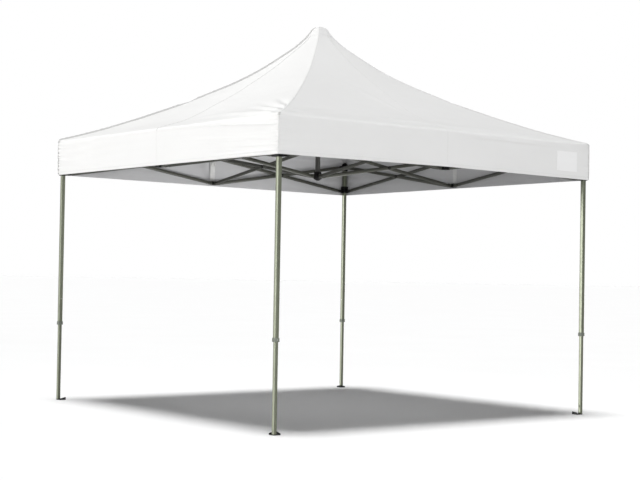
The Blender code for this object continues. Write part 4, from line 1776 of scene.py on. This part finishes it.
def valance_point(side, x, t, lift=0.0):
    """A point of the front valance: t is metres down from its top edge."""
    t = np.asarray(t)
    z = VALANCE_TOP - t * (1 + extra_length(side, x) / VALANCE_DEEP)
    tuck = 0.0012 * np.clip((z - (ROLL_Z - 0.010)) / 0.016, 0, 1)
    return x + 0 * z, -(CLOTH + valance_fold(side, x, z) + lift - tuck), z


# %% [markdown]
# ### Skirt, hem and corner seam
#
# A hem is the cloth's edge folded over and sewn down, so it is thicker than the rest and shows
# its stitches. The mesh could be folded over in the same way, but two thin strips, one on each
# face of the skirt, look alike and follow its folds through the same function. The corner seam is
# a fin as on the ridges, and only its path is new.

# %% Model the valance and its hem
HEM_DEEP = 0.0265


def valance_sheet(side):
    """The skirt itself, from its tucked top edge down to the hem's edge."""
    def shape(u, v):
        x = (2 * to_corners(u) - 1) * (CLOTH - 0.0006)
        return valance_point(side, x, v * VALANCE_DEEP)

    def uv(u, v):
        return (2 * to_corners(u) - 1) * CLOTH, v * VALANCE_DEEP

    sheet = grid_sheet("valance", 230, 56, shape, uv)
    merge_and_face(sheet, (0, -1, 0))
    return thicken(sheet, CLOTH_THICK)


def hem(side, lift, finish):
    """The hem's outer or inner layer along the valance's lower edge."""
    def shape(u, v):
        x = (2 * to_corners(u) - 1) * (CLOTH - 0.0008)
        return valance_point(side, x, VALANCE_DEEP - HEM_DEEP * (1 - v) + 0.0006 * v, lift)

    def uv(u, v):
        return (2 * to_corners(u) - 1) * CLOTH, (0.5 - v) * HEM_DEEP

    strip = grid_sheet("hem", 230, 5, shape, uv)
    merge_and_face(strip, (0, -1, 0))
    modify(strip, "SOLIDIFY", thickness=0.0006, offset=-1)
    return paint(shade(strip, 60), finish)


def down_corner(side):
    """A function for the right-hand corner edge, t metres down from the valance's top."""
    def surface(t):
        flat = 0 * t + CLOTH
        slant = 0 * t + math.sqrt(0.5)
        _, _, z = valance_point(side, CLOTH, t)
        return (flat, -flat, z), (slant, -slant, 0 * t)

    return surface


print("helpers made: valance_sheet, hem, down_corner")


# %% Make and place the valances
SEAM_RISE = {"front": 0.0005, "right": 0.0014, "back": 0.0014, "left": 0.0026}
# height and width of the fin on each side's right-hand corner seam
CORNER_FIN = {"front": (0.0035, 0.0120), "right": (0.0060, 0.0130), "back": (0.0090, 0.0120),
              "left": (0.0040, 0.0140)}
hem_white = stitched_tape("white hem", (0.70, 0.70, 0.695), (0.0095,))

for k, side in enumerate(SIDES):
    node = "valance_" + side
    down = np.linspace(0.012, VALANCE_DEEP - 0.001, 30)
    corner_rows = np.linspace(-0.006, VALANCE_DEEP - 0.002, 70)
    high, wide = CORNER_FIN[side]
    pieces = [valance_sheet(side), hem(side, 0.0007, hem_white),
              hem(side, -CLOTH_THICK - 0.0001, inner_coating_painted_shade),
              tape(side, 0.012, down, valance_point, SEAM_RISE[side], 0.023),
              fin(corner_rows, down_corner(side), high, wide, tape_white)]
    sheet = joined(pieces, "cloth_" + node)
    sheet.data.transform(quarter(k))
    stand_for(sheet, node, node)
    gather_in(sheet)
    print(sheet.name, "has", len(sheet.data.polygons), "faces")

# %% [markdown]
# ### Bare patch
#
# Near its right end the front valance carries a plain rectangular patch, sewn on along its four
# edges. It could be a second material on the valance, but a thin sheet of its own puffs out a
# little between its seams and catches the light along its edges.

# %% Model the patch
def bare_patch():
    """A patch that puffs out a millimetre between its sewn edges."""
    x0, x1, z0, z1 = 1.160, 1.385, 1.905, 2.058
    wide, high = x1 - x0, z1 - z0

    def shape(u, v):
        edge = np.minimum(np.minimum(u, 1 - u) * wide, np.minimum(v, 1 - v) * high)
        puff = 0.0011 * np.clip(edge / 0.004, 0, 1) ** 0.5
        return valance_point("front", x0 + u * wide, VALANCE_TOP - (z0 + v * high), puff)

    def uv(u, v):
        return u * wide, v * high

    patch = grid_sheet("patch", 60, 44, shape, uv)
    merge_and_face(patch, (0, -1, 0))
    modify(patch, "SOLIDIFY", thickness=0.0009, offset=-1)
    return paint(shade(patch, 60), patch_white)


patch_white = coated_cloth("smooth white patch", (0.80, 0.80, 0.80))
patch = bare_patch()
patch.name = "bare_patch"
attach(patch, "valance_front")
gather_in(patch)
print("bare patch of", len(patch.data.polygons), "faces")

# %% [markdown]
# ### Ties
#
# Inside, a wide white webbing tie with a ring hangs from the middle of each eave, behind the side
# joints, and holds the cloth to the frame. A simulation could let the strap hang, but it is short
# and still, so a grid with a slight sway is enough. The ring is a thin torus near its top.

# %% Model the ties
def tie():
    """A strap that hangs from the eave behind the side joint, with a ring near its top."""
    top, low = 2.106, 1.872

    def shape(u, v):
        z = top + (low - top) * v
        half = 0.0275 - 0.0035 * v
        y = -1.5172 + 0.0016 * np.sin(v * 6) + 0.0012 * np.cos((u - 0.5) * 3)
        return (u - 0.5) * 2 * half, y, z

    strap = grid_sheet("tie", 12, 60, shape, lambda u, v: (v * (top - low), (u - 0.5) * 0.054))
    merge_and_face(strap, (0, 1, 0))
    modify(strap, "SOLIDIFY", thickness=0.0014, offset=0)
    paint(shade(strap, 60), strap_white)
    bpy.ops.object.select_all(action="DESELECT")
    bpy.ops.mesh.primitive_torus_add(location=(0, -1.5125, 2.028), rotation=(math.radians(88), 0, 0),
                                     major_radius=0.0165, minor_radius=0.0021,
                                     major_segments=40, minor_segments=10)
    ring = settle(bpy.context.active_object)
    return joined([strap, paint(shade(ring, 60), zinc)], "tie")


ties = around(tie(), ["tie_" + s for s in SIDES], ["joint_%s_top" % s for s in SIDES])
print("ties:", len(ties))
